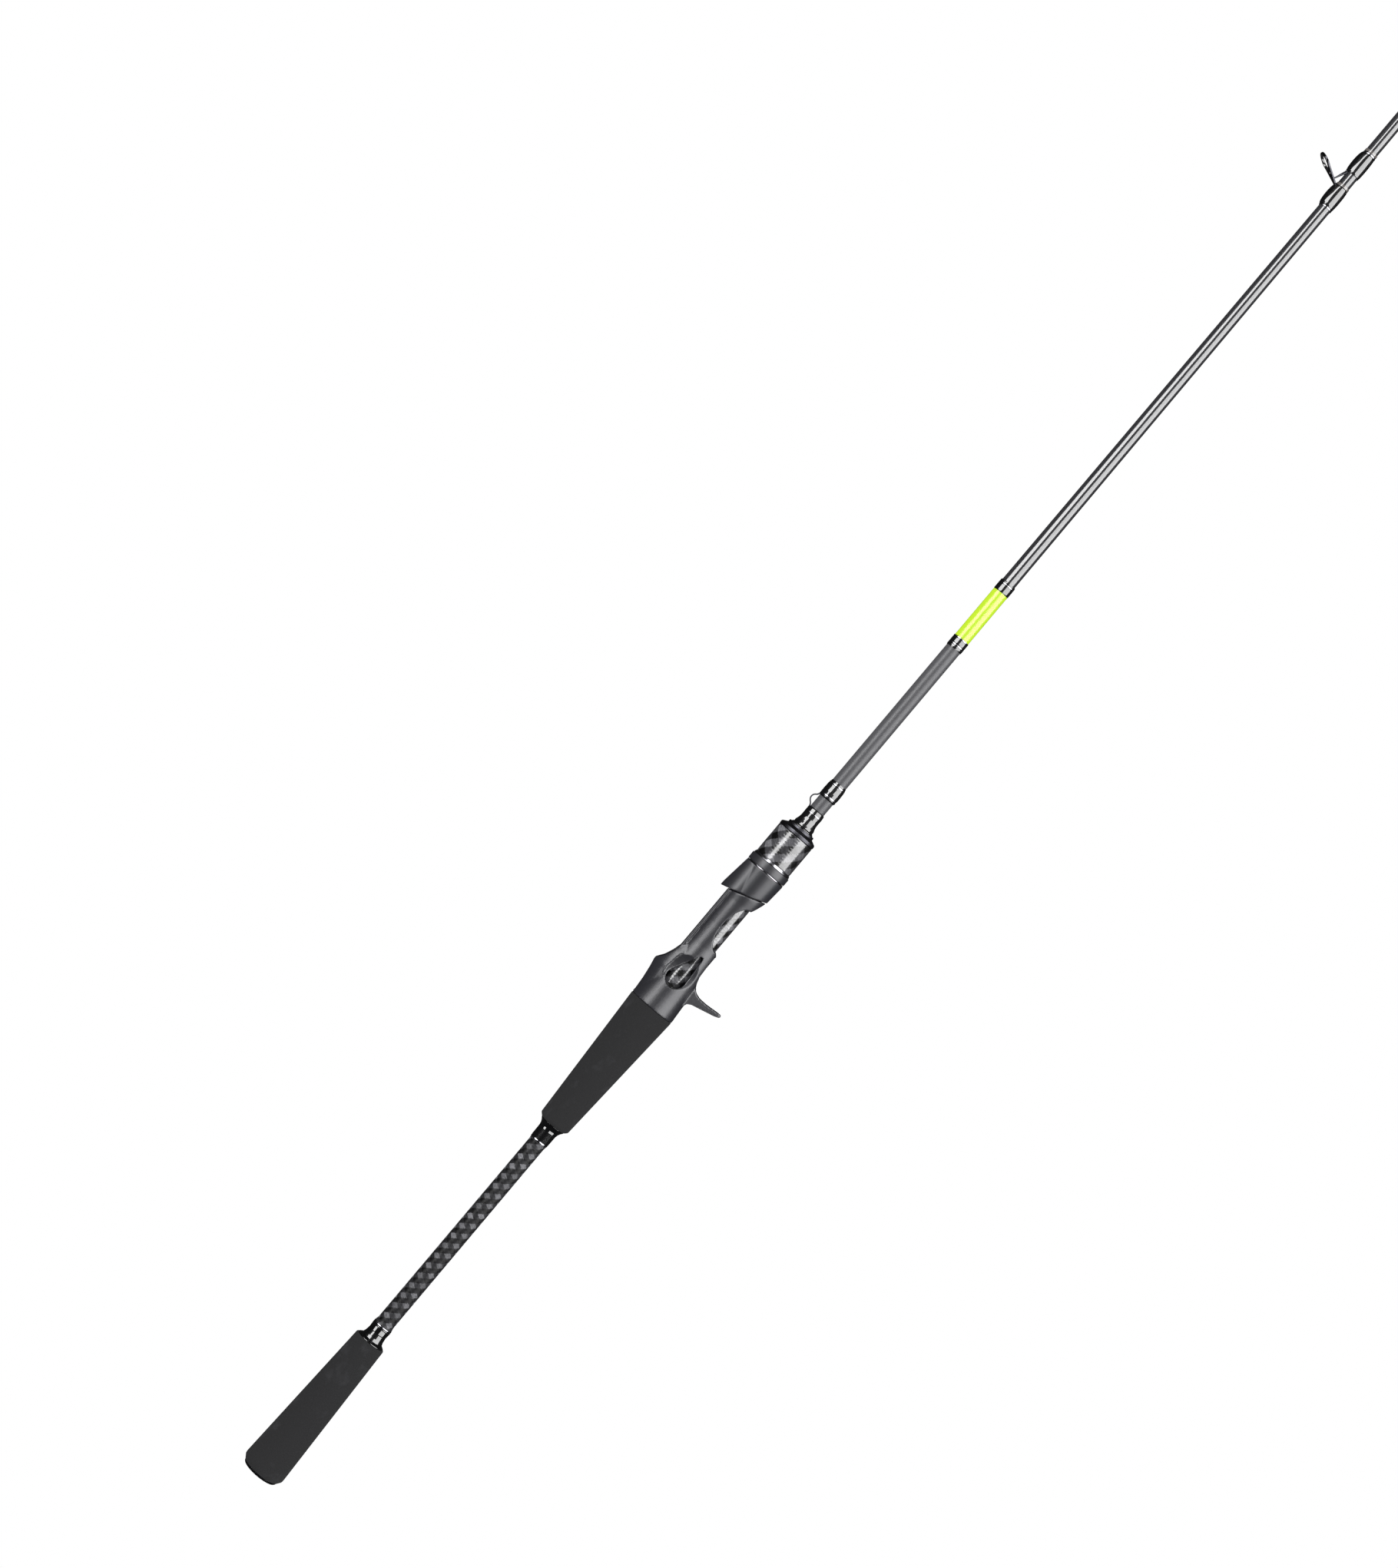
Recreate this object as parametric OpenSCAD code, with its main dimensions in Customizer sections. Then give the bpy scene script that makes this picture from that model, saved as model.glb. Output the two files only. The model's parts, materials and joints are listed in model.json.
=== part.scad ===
// One-piece casting rod: split-grip handle, trigger reel seat with a screw-down hood, tapered blank and line guides.
// The rod stands along +Z with the centre of the butt cap's end face at the origin.
// The reel and the guides sit on the -X side, the trigger on the +X side.

/* [Rod] */
// Length from the butt cap to the end of the blank
rod_length = 2286; // [1930:1:2740]
// Outer radius of the blank at the butt
butt_r = 4.98; // [4.3:0.01:5.1]
// Outer radius of the coated blank where the clear section begins
coated_r = 4.47; // [4.2:0.01:4.6]
// Outer radius of the clear section at its start
clear_r = 4.2; // [3.6:0.01:4.3]
// Outer radius of the blank at the tip
tip_r = 0.95; // [0.8:0.01:1.6]
// Wall of the blank at the butt
butt_wall = 1.2; // [0.9:0.05:1.6]
// Wall of the blank at the tip
tip_wall = 0.45; // [0.35:0.05:0.6]

/* [Butt grip] */
// Length of the butt cap's rim
cap_length = 1.6; // [1.2:0.1:3]
// Radius of the butt cap's end face
cap_face_r = 9.4; // [8:0.1:10.2]
// Radius of the butt cap's rim
cap_rim_r = 10.9; // [10.4:0.1:12]
// Length of the plug that locates the cap inside the blank
cap_plug_length = 8; // [5:0.5:14]
// Length of the butt grip
butt_grip_length = 91.6; // [70:0.1:120]
// Largest radius of the butt grip
butt_grip_r = 12.75; // [11.5:0.05:14]
// Radius of the butt grip where it meets its winding check
butt_grip_end_r = 9.2; // [8.5:0.05:10]
// Length of the chamfer at the thick end of the butt grip
butt_chamfer = 2.4; // [1:0.1:4]

/* [Split handle] */
// Length of the winding check in front of the butt grip
butt_check_length = 10; // [8:0.1:13]
// Radius of the flange of the butt check
butt_check_r = 8.3; // [7:0.1:8.6]
// Radius of the lips of both winding checks
check_lip_r = 5.8; // [5.5:0.05:6.4]
// Width of the metal trim ring beside each winding check
check_ring_width = 0.9; // [0.5:0.1:1.6]
// Length of patterned carbon shown between the two grips
handle_gap = 130; // [100:0.5:170]
// Thickness of the patterned carbon sleeve
handle_skin = 0.25; // [0.2:0.05:0.5]
// Length of the winding check behind the main grip
grip_check_length = 11; // [9:0.1:14]
// Radius of the flange of the main grip's check
grip_check_r = 7.6; // [6.8:0.1:8.4]

/* [Main grip] */
// Length of the main grip
main_grip_length = 83.1; // [66:0.1:105]
// Radius of the main grip at its rear shoulder
main_grip_r = 9.35; // [8.7:0.05:10.4]
// Radius of the main grip where it meets the reel seat
main_grip_front_r = 13.7; // [13.2:0.05:14.4]

/* [Reel seat] */
// Length of the moulded seat body, measured along the trigger side
seat_length = 82; // [78:0.5:98]
// Radius of the seat body's rear end
seat_rear_r = 13.7; // [13.2:0.05:14.4]
// Height of the reel-foot ledge above the rod's axis
ledge_h = 9.75; // [9.7:0.05:10.4]
// Height of the fixed hood's lip above the rod's axis
fixed_hood_h = 16.1; // [15.8:0.1:17.5]
// Thickness of the fixed hood's roof at the lip
hood_wall = 1.3; // [1:0.1:1.6]
// Outer radius of the carbon core tube
core_r = 7.2; // [6.8:0.05:7.4]
// Wall of the carbon core tube
core_wall = 0.9; // [0.7:0.05:1.2]
// Reach of the trigger from the rod's axis
trigger_reach = 32; // [28:0.5:38]
// Width of the trigger at its root
trigger_width = 9; // [7:0.5:12]

/* [Screw hood] */
// Pitch of the hood thread
thread_pitch = 2; // [1.8:0.1:2.4]
// Crest radius of the barrel thread
thread_crest_r = 9.5; // [9.4:0.05:9.6]
// Depth of the thread
thread_depth = 0.6; // [0.5:0.05:0.7]
// Radial clearance between the barrel thread and what runs over it
thread_gap = 0.25; // [0.2:0.05:0.35]
// Length of the sliding hood on the trigger side
hood_length = 12; // [10:0.5:20]
// Height of the sliding hood's lip above the rod's axis
hood_lip_h = 14.3; // [13.9:0.1:15.2]
// Width of the sliding hood's front rim beyond its neck
hood_rim = 1.3; // [1.1:0.05:1.9]
// Length of the whole clamping nut
nut_length = 30.4; // [28:0.1:36]
// Wall of the nut's patterned sleeve
nut_sleeve_wall = 0.7; // [0.6:0.05:1.2]
// How far the hood and nut open
hood_travel = 10; // [6:0.5:11]

/* [Windings and band] */
// Length of the winding in front of the core tube
front_wrap_length = 14.5; // [12:0.5:20]
// Gap for the hook keeper between its two windings
keeper_gap = 7.8; // [6:0.1:10]
// Height of the hook keeper's wire centre above the axis
keeper_h = 7.5; // [7:0.1:9]
// Length of the winding in front of the hook keeper
keeper_wrap_length = 10.8; // [9:0.1:14]
// Distance from the butt to the coloured band
band_start = 588.6; // [560:0.1:680]
// Length of the coloured band
band_length = 32.7; // [24:0.1:45]
// Thickness of the coloured band's coat
band_coat = 0.12; // [0.08:0.01:0.2]

/* [Guides] */
// Distance from the butt to the centre of the stripper guide's ring
stripper_z = 912.6; // [860:0.1:1000]
// Number of single-foot guides between the stripper guide and the tip
guide_count = 8; // [8:1:8]
// Distance from the tip to the first guide, before the spacing grows
guide_spacing = 92; // [70:0.5:110]
// Opening radius of the stripper guide's ceramic ring
stripper_ring_r = 3.9; // [3.5:0.1:4.4]
// Height of the stripper guide's ring centre above the axis
stripper_h = 15.8; // [14.5:0.1:18]
// Lean of the guide rings towards the tip
guide_lean = 27; // [15:1:35]
// Radial thickness of the ceramic rings
ceramic_t = 0.95; // [0.7:0.05:1.2]
// Radial thickness of the metal bands that hold them
band_t = 0.85; // [0.7:0.05:1.1]

/* [Hidden] */
$fn = 72;
eps = 0.01;
glue = 0.02;
running_gap = 0.08;

// Stations along the rod, each worked out from the one before it
grip_z = cap_length;
check_z = grip_z + butt_grip_length;
check_ring_z = check_z + butt_check_length;
sleeve_z = check_ring_z + check_ring_width;
grip_ring_z = sleeve_z + handle_gap;
grip_check_z = grip_ring_z + check_ring_width;
main_grip_z = grip_check_z + grip_check_length;
seat_z = main_grip_z + main_grip_length;
seat_end = seat_z + seat_length;
hood_front = seat_end + 0.8 + hood_length;
hood_ring_width = 0.5;
nut_z = hood_front + hood_ring_width + 0.15;
nut_end = nut_z + nut_length;
core_z = seat_z + 2;
core_end = nut_end - 1.9;
barrel_z = seat_end - 7;
barrel_end = core_end - 2;
winding_end = core_end + front_wrap_length;
keeper_wrap_z = winding_end + keeper_gap;
keeper_wrap_end = keeper_wrap_z + keeper_wrap_length;
band_wrap_length = 6.7;
band_end = band_start + band_length;
coat_step = band_end + 3.7;

// The blank is two cones that meet at the end of the coat, under a winding
function mix(a, b, t) = a + (b - a) * t;
function blank_r(z) = z < coat_step
    ? mix(butt_r, coated_r, z / coat_step)
    : mix(clear_r, tip_r, (z - coat_step) / (rod_length - coat_step));
function blank_wall(z) = mix(butt_wall, tip_wall, z / rod_length);

// Guides counted from the tip: the spacing grows steadily towards the stripper guide
tip_span = rod_length - stripper_z;
stripper_index = guide_count + 1;
spacing_growth = (tip_span - guide_spacing * stripper_index) / pow(stripper_index, 2);
function guide_z(i) = rod_length - guide_spacing * i - spacing_growth * i * i;
function guide_ring_r(i) = 1.9 + (stripper_ring_r - 1.9) * i / stripper_index;
function guide_h(i) = blank_r(guide_z(i)) + 4.6 + (stripper_h - 8.3) * i / stripper_index;

// Slanted joint between the seat body and the sliding hood
dome_offset = 4.4;
plate_t = 1.6;
plate_w = 16.4;
slant = 17.15;
slant_z = seat_end - 3.42;
lip_z = seat_z + 21.7;
waist_z = seat_z + 42.8;
window_z = seat_z + 44.5;
window_end = seat_end - 8.5;
trigger_z = seat_z + 17;

neck_length = 2.5;
nut_collar_length = 4.6;
nut_step_length = 1.6;
nut_front_length = 5.3;
nut_lip_r = 8.3;
nut_lip_bore = core_r + 0.4;
thread_root_r = thread_crest_r - thread_depth;
nut_root_r = thread_crest_r + thread_gap;
hood_bore_r = thread_crest_r + thread_gap;
nut_core_r = nut_root_r + 0.85;
neck_r = hood_bore_r + 1.35;
hood_front_r = neck_r + hood_rim;
nut_sleeve_r = nut_core_r + nut_sleeve_wall;
keyway = [171, 172, 188, 189];
keyway_r = thread_root_r - 0.45;

foot_t = 0.75;
foot_w = 3;
wrap_offset = 0.455;
trim_width = 0.75;
stripper_wrap = [893.8 - 912.6, 907 - 912.6, 914.9 - 912.6, 929.7 - 912.6];

// ---- Shared shapes ----

// A solid of revolution from [z, r] stations
module turned(stations) {
    last = len(stations) - 1;
    rotate_extrude()
        polygon(concat(
            [[0, stations[0][0]]],
            [for (s = stations) [s[1], s[0]]],
            [[0, stations[last][0]]]
        ));
}

// The space that the blank fills, used to bore every piece that is threaded onto it
module blank_space() {
    turned([[-1, blank_r(-1)], [coat_step, blank_r(coat_step - eps)], [coat_step, clear_r], [rod_length, tip_r]]);
}

// A turned piece that is glued onto the blank
module on_blank(stations) {
    difference() {
        turned(stations);
        blank_space();
    }
}

// A plain ring
module ring(z, length, outer, inner) {
    translate([0, 0, z])
        difference() {
            cylinder(h = length, r = outer);
            translate([0, 0, -1])
                cylinder(h = length + 2, r = inner);
        }
}

// A side outline, given as [z, x] points, extruded across the rod
module side_slab(points, width) {
    rotate([90, 0, 0])
        linear_extrude(height = width, center = true)
            polygon([for (p = points) [p[1], p[0]]]);
}

// Outer corners of the belt around two circles on the X axis, at 0 and at distance d, set a little inside both
// so that its sides cross the circles instead of grazing them
function belt(r1, d, r2) = let (c = (r1 - r2) / d, s = sqrt(1 - c * c), k = 0.96)
    [[r1 * c * k, r1 * s * k], [d + r2 * c * k, r2 * s * k], [d + r2 * c * k, -r2 * s * k], [r1 * c * k, -r1 * s * k]];

// Points along an arc about c, from angle a to angle b in n steps
function arc(c, r, a, b, n) = [for (i = [0:n]) let (t = mix(a, b, i / n)) [c[0] + r * cos(t), c[1] + r * sin(t)]];

module belt_shape(r1, d, r2) {
    circle(r = r1);
    polygon(belt(r1, d, r2));
    translate([d, 0])
        circle(r = r2);
}

// ---- Blank and handle ----

module blank() {
    color("dimgray")
        difference() {
            turned([[grip_z, blank_r(grip_z)], [coat_step, blank_r(coat_step - eps)], [coat_step, clear_r],
                    [rod_length, tip_r]]);
            turned([[grip_z - 1, blank_r(0) - blank_wall(0)],
                    [coat_step, clear_r - blank_wall(coat_step)],
                    [rod_length + 1, tip_r - tip_wall]]);
        }
}

module butt_cap() {
    plug_r = blank_r(0) - blank_wall(0) - 0.05;
    color([0.04, 0.04, 0.045]) {
        turned([[0, cap_face_r], [0.25, cap_face_r + 0.75], [0.8, cap_rim_r - 0.2], [cap_length, cap_rim_r]]);
        translate([0, 0, cap_length - eps])
            cylinder(h = cap_plug_length, r1 = plug_r - 0.05, r2 = plug_r - 0.2);
    }
}

module butt_grip() {
    color([0.12, 0.12, 0.12])
        on_blank([[grip_z, cap_rim_r + 0.1], [grip_z + butt_chamfer, butt_grip_r - 0.1],
                  [grip_z + butt_chamfer + 1.4, butt_grip_r], [check_z, butt_grip_end_r]]);
}

module butt_check() {
    color([0.04, 0.04, 0.045])
        on_blank([[check_z, butt_check_r], [check_z + 0.4, butt_check_r], [check_z + 1.6, check_lip_r + 0.75],
                  [check_z + 3.2, check_lip_r + 0.15], [check_z + 6, check_lip_r - 0.25],
                  [check_ring_z - 0.6, check_lip_r], [check_ring_z, check_lip_r - 0.1]]);
}

module butt_check_ring() {
    color("silver")
        on_blank([[check_ring_z, check_lip_r - 0.15], [check_ring_z + 0.45, check_lip_r],
                  [sleeve_z, check_lip_r - 0.15]]);
}

module handle_sleeve() {
    r0 = blank_r(sleeve_z) + handle_skin;
    r1 = blank_r(grip_ring_z) + handle_skin;
    color([0.16, 0.16, 0.17])
        on_blank([[sleeve_z, check_lip_r - 0.2], [sleeve_z + 2.2, r0], [grip_ring_z - 1.8, r1],
                  [grip_ring_z, check_lip_r - 0.5]]);
}

module grip_check_ring() {
    color("silver")
        on_blank([[grip_ring_z, check_lip_r - 0.45], [grip_ring_z + 0.45, check_lip_r - 0.3],
                  [grip_check_z, check_lip_r - 0.4]]);
}

module grip_check() {
    color([0.04, 0.04, 0.045])
        on_blank([[grip_check_z, check_lip_r - 0.3], [grip_check_z + 6.5, check_lip_r - 0.2],
                  [grip_check_z + 8, check_lip_r + 0.1], [grip_check_z + 9.4, check_lip_r + 0.75],
                  [main_grip_z - 0.5, grip_check_r - 0.2], [main_grip_z, grip_check_r]]);
}

module main_grip() {
    color([0.12, 0.12, 0.12])
        on_blank([[main_grip_z, grip_check_r + 0.1], [main_grip_z + 1.7, main_grip_r],
                  [seat_z, main_grip_front_r]]);
}

// ---- Reel seat ----

module seat_core() {
    color([0.1, 0.1, 0.11])
        ring(core_z, core_end - core_z, core_r, core_r - core_wall);
}

// A bush that fills the gap between the blank and the core tube
module arbor(z, length) {
    difference() {
        translate([0, 0, z])
            cylinder(h = length, r = core_r - core_wall);
        blank_space();
    }
}

module rear_arbor() {
    color("tan")
        arbor(core_z + 4, 22);
}

module front_arbor() {
    color("tan")
        arbor(core_end - 34, 28);
}

// Everything on the butt side of the slanted joint
module slanted_cut(offset_z, size) {
    translate([0, 0, slant_z + offset_z])
        rotate([0, -slant, 0])
            translate([-size, -size, 0])
                cube([2 * size, 2 * size, 2 * size]);
}

// Outline of the seat body seen from the side, as [z, x] points; the trigger is added to it
function seat_outline() = [
    [seat_z, -20], [lip_z + 0.6, -20], [lip_z + 0.6, -fixed_hood_h], [lip_z + 4.4, -fixed_hood_h + 3],
    [lip_z + 9, -ledge_h - 1.4], [lip_z + 14, -ledge_h], [seat_end + 4, -ledge_h],
    [seat_end + 4, hood_front_r], [seat_end - 1.8, thread_root_r + 1.7], [seat_end - 5.5, thread_root_r + 0.3], [window_end, 7.8],
    [window_z, 7.8], [waist_z, 9.3], [waist_z - 0.6, 8.95], [waist_z - 8, 8.9], [lip_z + 7.5, 9.2],
    [lip_z + 3.8, 10.3], [lip_z + 1.2, 11.7], [lip_z - 1, 20], [seat_z, 20]
];

// Plan of the seat body: how wide it is, as [z, r] stations
function seat_plan() = [
    [seat_z, seat_rear_r], [seat_z + 9.5, 13], [lip_z, 12.4], [lip_z + 9, 11.5], [waist_z, 10.5],
    [waist_z + 14, 10.2], [seat_end - 9, 10.6], [seat_end - 4, thread_root_r + 2.2], [seat_end + 4, thread_root_r + 2.7]
];

// The fixed hood's dome, turned about an axis nearer the reel, or the same dome shrunk by the hood's wall
module seat_dome(wall) {
    top = fixed_hood_h - dome_offset;
    translate([-dome_offset, 0, 0])
        turned([[seat_z, seat_rear_r - dome_offset - 0.3 - wall], [seat_z + 9, seat_rear_r - dome_offset + 0.4 - wall],
                [seat_z + 16, top - 1 - wall], [lip_z - 1, top - 0.05 - wall], [lip_z + 0.6, top + 0.1 - wall],
                [lip_z + 5, top - 0.3 - wall], [lip_z + 11, top - 1.4 - wall], [lip_z + 17, top - 3 - wall]]);
}

// The plate that the reel foot rests on, wider than the body under it
module seat_plate() {
    side_slab([[lip_z - 12, -ledge_h], [seat_end + 4, -ledge_h], [seat_end + 4, -ledge_h + plate_t],
               [lip_z - 12, -ledge_h + plate_t]], plate_w);
}

// The scooped sides under the crease that runs from the fixed hood down to the waist
module seat_scoop(side) {
    intersection() {
        side_slab([[seat_z + 9, -5.6], [lip_z + 0.8, -8.6], [lip_z + 8.7, -7.4], [lip_z + 15.7, -3.9],
                   [lip_z + 19.4, 0.6], [lip_z + 20.5, 4], [lip_z + 20.6, 13], [seat_z + 9, 13]], 40);
        translate([-20, side * 25.8, lip_z + 5])
            rotate([0, 90, 0])
                cylinder(h = 40, r = 17);
    }
}

// The teardrop rear window, drawn as one outline
module seat_window() {
    r1 = 5.7;
    r2 = 1.3;
    d = 16.6;
    lean = 78;
    big = [-0.3, seat_z + 20.6];
    a = acos((r1 - r2) / d);
    rotate([90, 0, 0])
        linear_extrude(height = 40, center = true)
            polygon(concat(
                arc(big, r1, lean + a, lean + 360 - a, 20),
                arc([big[0] + d * cos(lean), big[1] + d * sin(lean)], r2, lean - a, lean + a, 8)
            ));
}

// The front window is half an ellipse, open towards the trigger side
module seat_front_window() {
    middle = (window_z + window_end) / 2;
    half = (window_end - window_z) / 2;
    rotate([90, 0, 0])
        linear_extrude(height = 40, center = true)
            polygon(concat(
                [[20, middle + half], [7.4, middle + half]],
                [for (t = [100:10:260]) [7.4 + 7.2 * cos(t), middle + half * sin(t)]],
                [[7.4, middle - half], [20, middle - half]]
            ));
}

// The trigger, as a tapering finger that leans slightly forward
module trigger() {
    root = trigger_z - 6;
    intersection() {
        side_slab([[root - 1, 8.6], [root - 1, 12], [root + 2.4, 13.3], [root + 3.7, 15.5], [root + 5.1, 21.9],
                   [root + 6.7, trigger_reach - 3.2], [root + 7.6, trigger_reach - 0.7],
                   [root + 8.5, trigger_reach], [root + 9.4, trigger_reach - 0.5],
                   [root + 9.4, trigger_reach - 3.2], [root + 8.8, 21.9], [root + 8.9, 17.3],
                   [root + 9.8, 14.2], [root + 11.4, 12], [root + 14, 10.2], [root + 14, 8.6]], 40);
        translate([0, 0, root - 5])
            linear_extrude(height = 40)
                polygon([[8, -trigger_width * 0.62], [16, -trigger_width * 0.5],
                         [trigger_reach - 1.5, -trigger_width * 0.3], [trigger_reach + 1, -trigger_width * 0.18],
                         [trigger_reach + 1, trigger_width * 0.18], [trigger_reach - 1.5, trigger_width * 0.3],
                         [16, trigger_width * 0.5], [8, trigger_width * 0.62]]);
    }
}

module seat_body() {
    color([0.3, 0.3, 0.31])
        difference() {
            union() {
                intersection() {
                    side_slab(seat_outline(), 40);
                    union() {
                        turned(seat_plan());
                        seat_dome(0);
                    }
                }
                seat_plate();
                trigger();
            }
            for (side = [-1, 1])
                seat_scoop(side);
            seat_window();
            seat_front_window();
            slanted_cut(0, 40);
            // Pocket for the rear end of the reel foot
            intersection() {
                side_slab([[lip_z - 9.5, -ledge_h], [lip_z - 9.5, -ledge_h - 3.2], [lip_z + 0.5, -20],
                           [lip_z + 17, -20], [lip_z + 17, -ledge_h]], 16.8);
                seat_dome(hood_wall);
            }
            // Seat for the core tube, then the wider socket for the threaded barrel
            translate([0, 0, core_z])
                cylinder(h = seat_length + 10, r = core_r);
            translate([0, 0, seat_z - 1])
                cylinder(h = 4, r = blank_r(seat_z) + 0.3);
            translate([0, 0, barrel_z])
                cylinder(h = 30, r = thread_root_r + glue);
        }
}

// ---- Screw hood ----

// Points of one thread turn as [share of the pitch, 1 at the crest or 0 at the root]
thread_form = [[0, 0], [0.175, 1], [0.425, 1], [0.6, 0]];

// A tube with a helical thread on one face: columns of points rise along the helix, one column per angle.
// The thread fades in over its first turn and out over its last. Columns in flat stay at flat_r.
module threaded_tube(z0, z1, smooth_r, root_r, crest_r, start, turns, angles, flat = [], flat_r = 0) {
    n = len(angles);
    k = len(thread_form);
    rows = turns * k;
    inward = crest_r < root_r;
    function fade(c, row) = row < k
        ? angles[c] / 360
        : row >= rows - k ? 1 - angles[c] / 360 : 1;
    function radius(c, row) = search(angles[c], flat) != []
        ? flat_r
        : root_r + (crest_r - root_r) * thread_form[row % k][1] * fade(c, row);
    function end_r(c) = search(angles[c], flat) != [] ? flat_r : root_r;
    function height(c, row) =
        start + thread_pitch * (floor(row / k) + thread_form[row % k][0] + angles[c] / 360);
    function at(r, c, z) = [r * cos(angles[c]), r * sin(angles[c]), z];
    // Point numbers: threaded columns, then the end rings of the threaded face, then the smooth face
    function thread_at(c, row) = (c % n) * rows + row;
    function low_at(c) = n * rows + c % n;
    function high_at(c) = n * rows + n + c % n;
    function smooth_low(c) = n * rows + 2 * n + c % n;
    function smooth_high(c) = n * rows + 3 * n + c % n;
    points = concat(
        [for (c = [0:n - 1]) for (row = [0:rows - 1]) at(radius(c, row), c, height(c, row))],
        [for (c = [0:n - 1]) at(end_r(c), c, z0)],
        [for (c = [0:n - 1]) at(end_r(c), c, z1)],
        [for (c = [0:n - 1]) at(smooth_r, c, z0)],
        [for (c = [0:n - 1]) at(smooth_r, c, z1)]
    );
    // The last column meets the first one a whole turn higher
    shift = function (c) c == n - 1 ? k : 0;
    threaded = concat(
        [for (c = [0:n - 1]) for (row = [0:rows - 2 - shift(c)]) for (half = [0, 1]) half == 0
            ? [thread_at(c, row), thread_at(c + 1, row + shift(c)), thread_at(c + 1, row + 1 + shift(c))]
            : [thread_at(c, row), thread_at(c + 1, row + 1 + shift(c)), thread_at(c, row + 1)]],
        [for (c = [0:n - 1]) [low_at(c), low_at(c + 1), thread_at(c + 1, 0)]],
        [for (c = [0:n - 2]) [low_at(c), thread_at(c + 1, 0), thread_at(c, 0)]],
        [for (row = [0:k - 1]) [low_at(n - 1), thread_at(0, row), thread_at(0, row + 1)]],
        [[low_at(n - 1), thread_at(0, k), thread_at(n - 1, 0)]],
        [for (c = [0:n - 1]) [high_at(c + 1), high_at(c), thread_at(c, rows - 1)]],
        [for (c = [0:n - 2]) [high_at(c + 1), thread_at(c, rows - 1), thread_at(c + 1, rows - 1)]],
        [for (row = [rows - 1 - k:rows - 2]) [high_at(0), thread_at(n - 1, row + 1), thread_at(n - 1, row)]],
        [[high_at(0), thread_at(n - 1, rows - 1 - k), thread_at(0, rows - 1)]]
    );
    smooth = [for (c = [0:n - 1]) for (half = [0, 1]) half == 0
        ? [smooth_low(c), smooth_high(c), smooth_high(c + 1)]
        : [smooth_low(c), smooth_high(c + 1), smooth_low(c + 1)]];
    ends = [for (c = [0:n - 1]) for (half = [0, 1]) for (top = [0, 1])
        top == 0
            ? (half == 0 ? [low_at(c), smooth_low(c), smooth_low(c + 1)] : [low_at(c), smooth_low(c + 1), low_at(c + 1)])
            : (half == 0 ? [high_at(c), smooth_high(c + 1), smooth_high(c)]
                         : [high_at(c), high_at(c + 1), smooth_high(c + 1)])];
    outside = concat(threaded, smooth, ends);
    // Faces are listed for an external thread and turned over for an internal one
    polyhedron(points = points, faces = inward ? outside : [for (f = outside) [f[2], f[1], f[0]]], convexity = 10);
}

barrel_angles = concat([for (a = [0:15:165]) a], keyway, [for (a = [195:15:345]) a]);
thread_start = barrel_z + 7.6;

module thread_barrel() {
    turns = floor((barrel_end - thread_start - 0.3) / thread_pitch) - 1;
    color([0.2, 0.2, 0.21])
        threaded_tube(barrel_z, barrel_end, core_r / cos(7.5) + glue, thread_root_r, thread_crest_r,
                      thread_start, turns, barrel_angles, [keyway[1], keyway[2]], keyway_r);
}

// Outline of the sliding hood seen from the side, as [z, x] points
function hood_outline() = [
    [slant_z - 8, -hood_lip_h], [slant_z - 1.5, -hood_lip_h], [hood_front - 1, -hood_front_r + 0.2],
    [hood_front, -hood_front_r + 0.3], [hood_front, hood_front_r + 1.6], [slant_z - 8, hood_front_r + 1.6]
];

module sliding_hood() {
    hood_dome_r = 10.6;
    roof_r = 9.2;
    pocket_end = hood_front - 5.6;
    color([0.32, 0.32, 0.33])
        difference() {
            union() {
                intersection() {
                    side_slab(hood_outline(), 40);
                    union() {
                        translate([0, 0, slant_z - 8])
                            cylinder(h = hood_front - slant_z + 8, r1 = hood_front_r - 1.7, r2 = hood_front_r);
                        translate([hood_dome_r - hood_lip_h - 0.1, 0, slant_z - 8])
                            cylinder(h = hood_front - slant_z + 8, r = hood_dome_r);
                    }
                }
                translate([0, 0, hood_front - eps])
                    cylinder(h = neck_length + eps, r = neck_r);
            }
            translate([0, 0, slant_z + 0.45])
                mirror([0, 0, 1])
                    rotate([0, slant, 0])
                        translate([-40, -40, 0])
                            cube([80, 80, 80]);
            translate([0, 0, slant_z - 20])
                cylinder(h = 60, r = hood_bore_r);
            // Pocket for the front end of the reel foot
            intersection() {
                translate([roof_r - hood_lip_h + 1.2, 0, slant_z - 20])
                    cylinder(h = pocket_end - slant_z + 20, r = roof_r);
                side_slab([[slant_z - 20, 14], [slant_z - 20, -hood_lip_h + 1.1], [slant_z - 1.5, -hood_lip_h + 1.1],
                           [hood_front - 1, -hood_front_r + 1.5], [hood_front - 1, 14]], 40);
            }
            // Groove for the retaining ring
            ring(hood_front + 1, 0.9, neck_r + 1, neck_r - 0.8);
        }
    // Key that slides in the barrel's keyway
    color([0.32, 0.32, 0.33])
        translate([-hood_bore_r - 0.3, -0.95, pocket_end + 0.2])
            cube([hood_bore_r + 0.05 - keyway_r, 1.9, hood_front - pocket_end - 0.6]);
}

module hood_ring() {
    color("silver")
        ring(hood_front, hood_ring_width, hood_front_r - 0.15, neck_r);
}

module retaining_ring() {
    color("gray")
        ring(hood_front + 1.05, 0.8, neck_r + 0.5, neck_r - 0.72);
}

module nut_core() {
    turns = 10;
    core_start = nut_z + 2.4;
    lead = (nut_z + 3.2 - thread_start) / thread_pitch;
    start = thread_start + (ceil(lead) + 0.5) * thread_pitch;
    color([0.2, 0.2, 0.21])
        threaded_tube(core_start, nut_end - nut_front_length + 1.7, nut_core_r, nut_root_r,
                      nut_root_r - thread_depth, start, turns, [for (a = [0:15:345]) a]);
}

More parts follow.
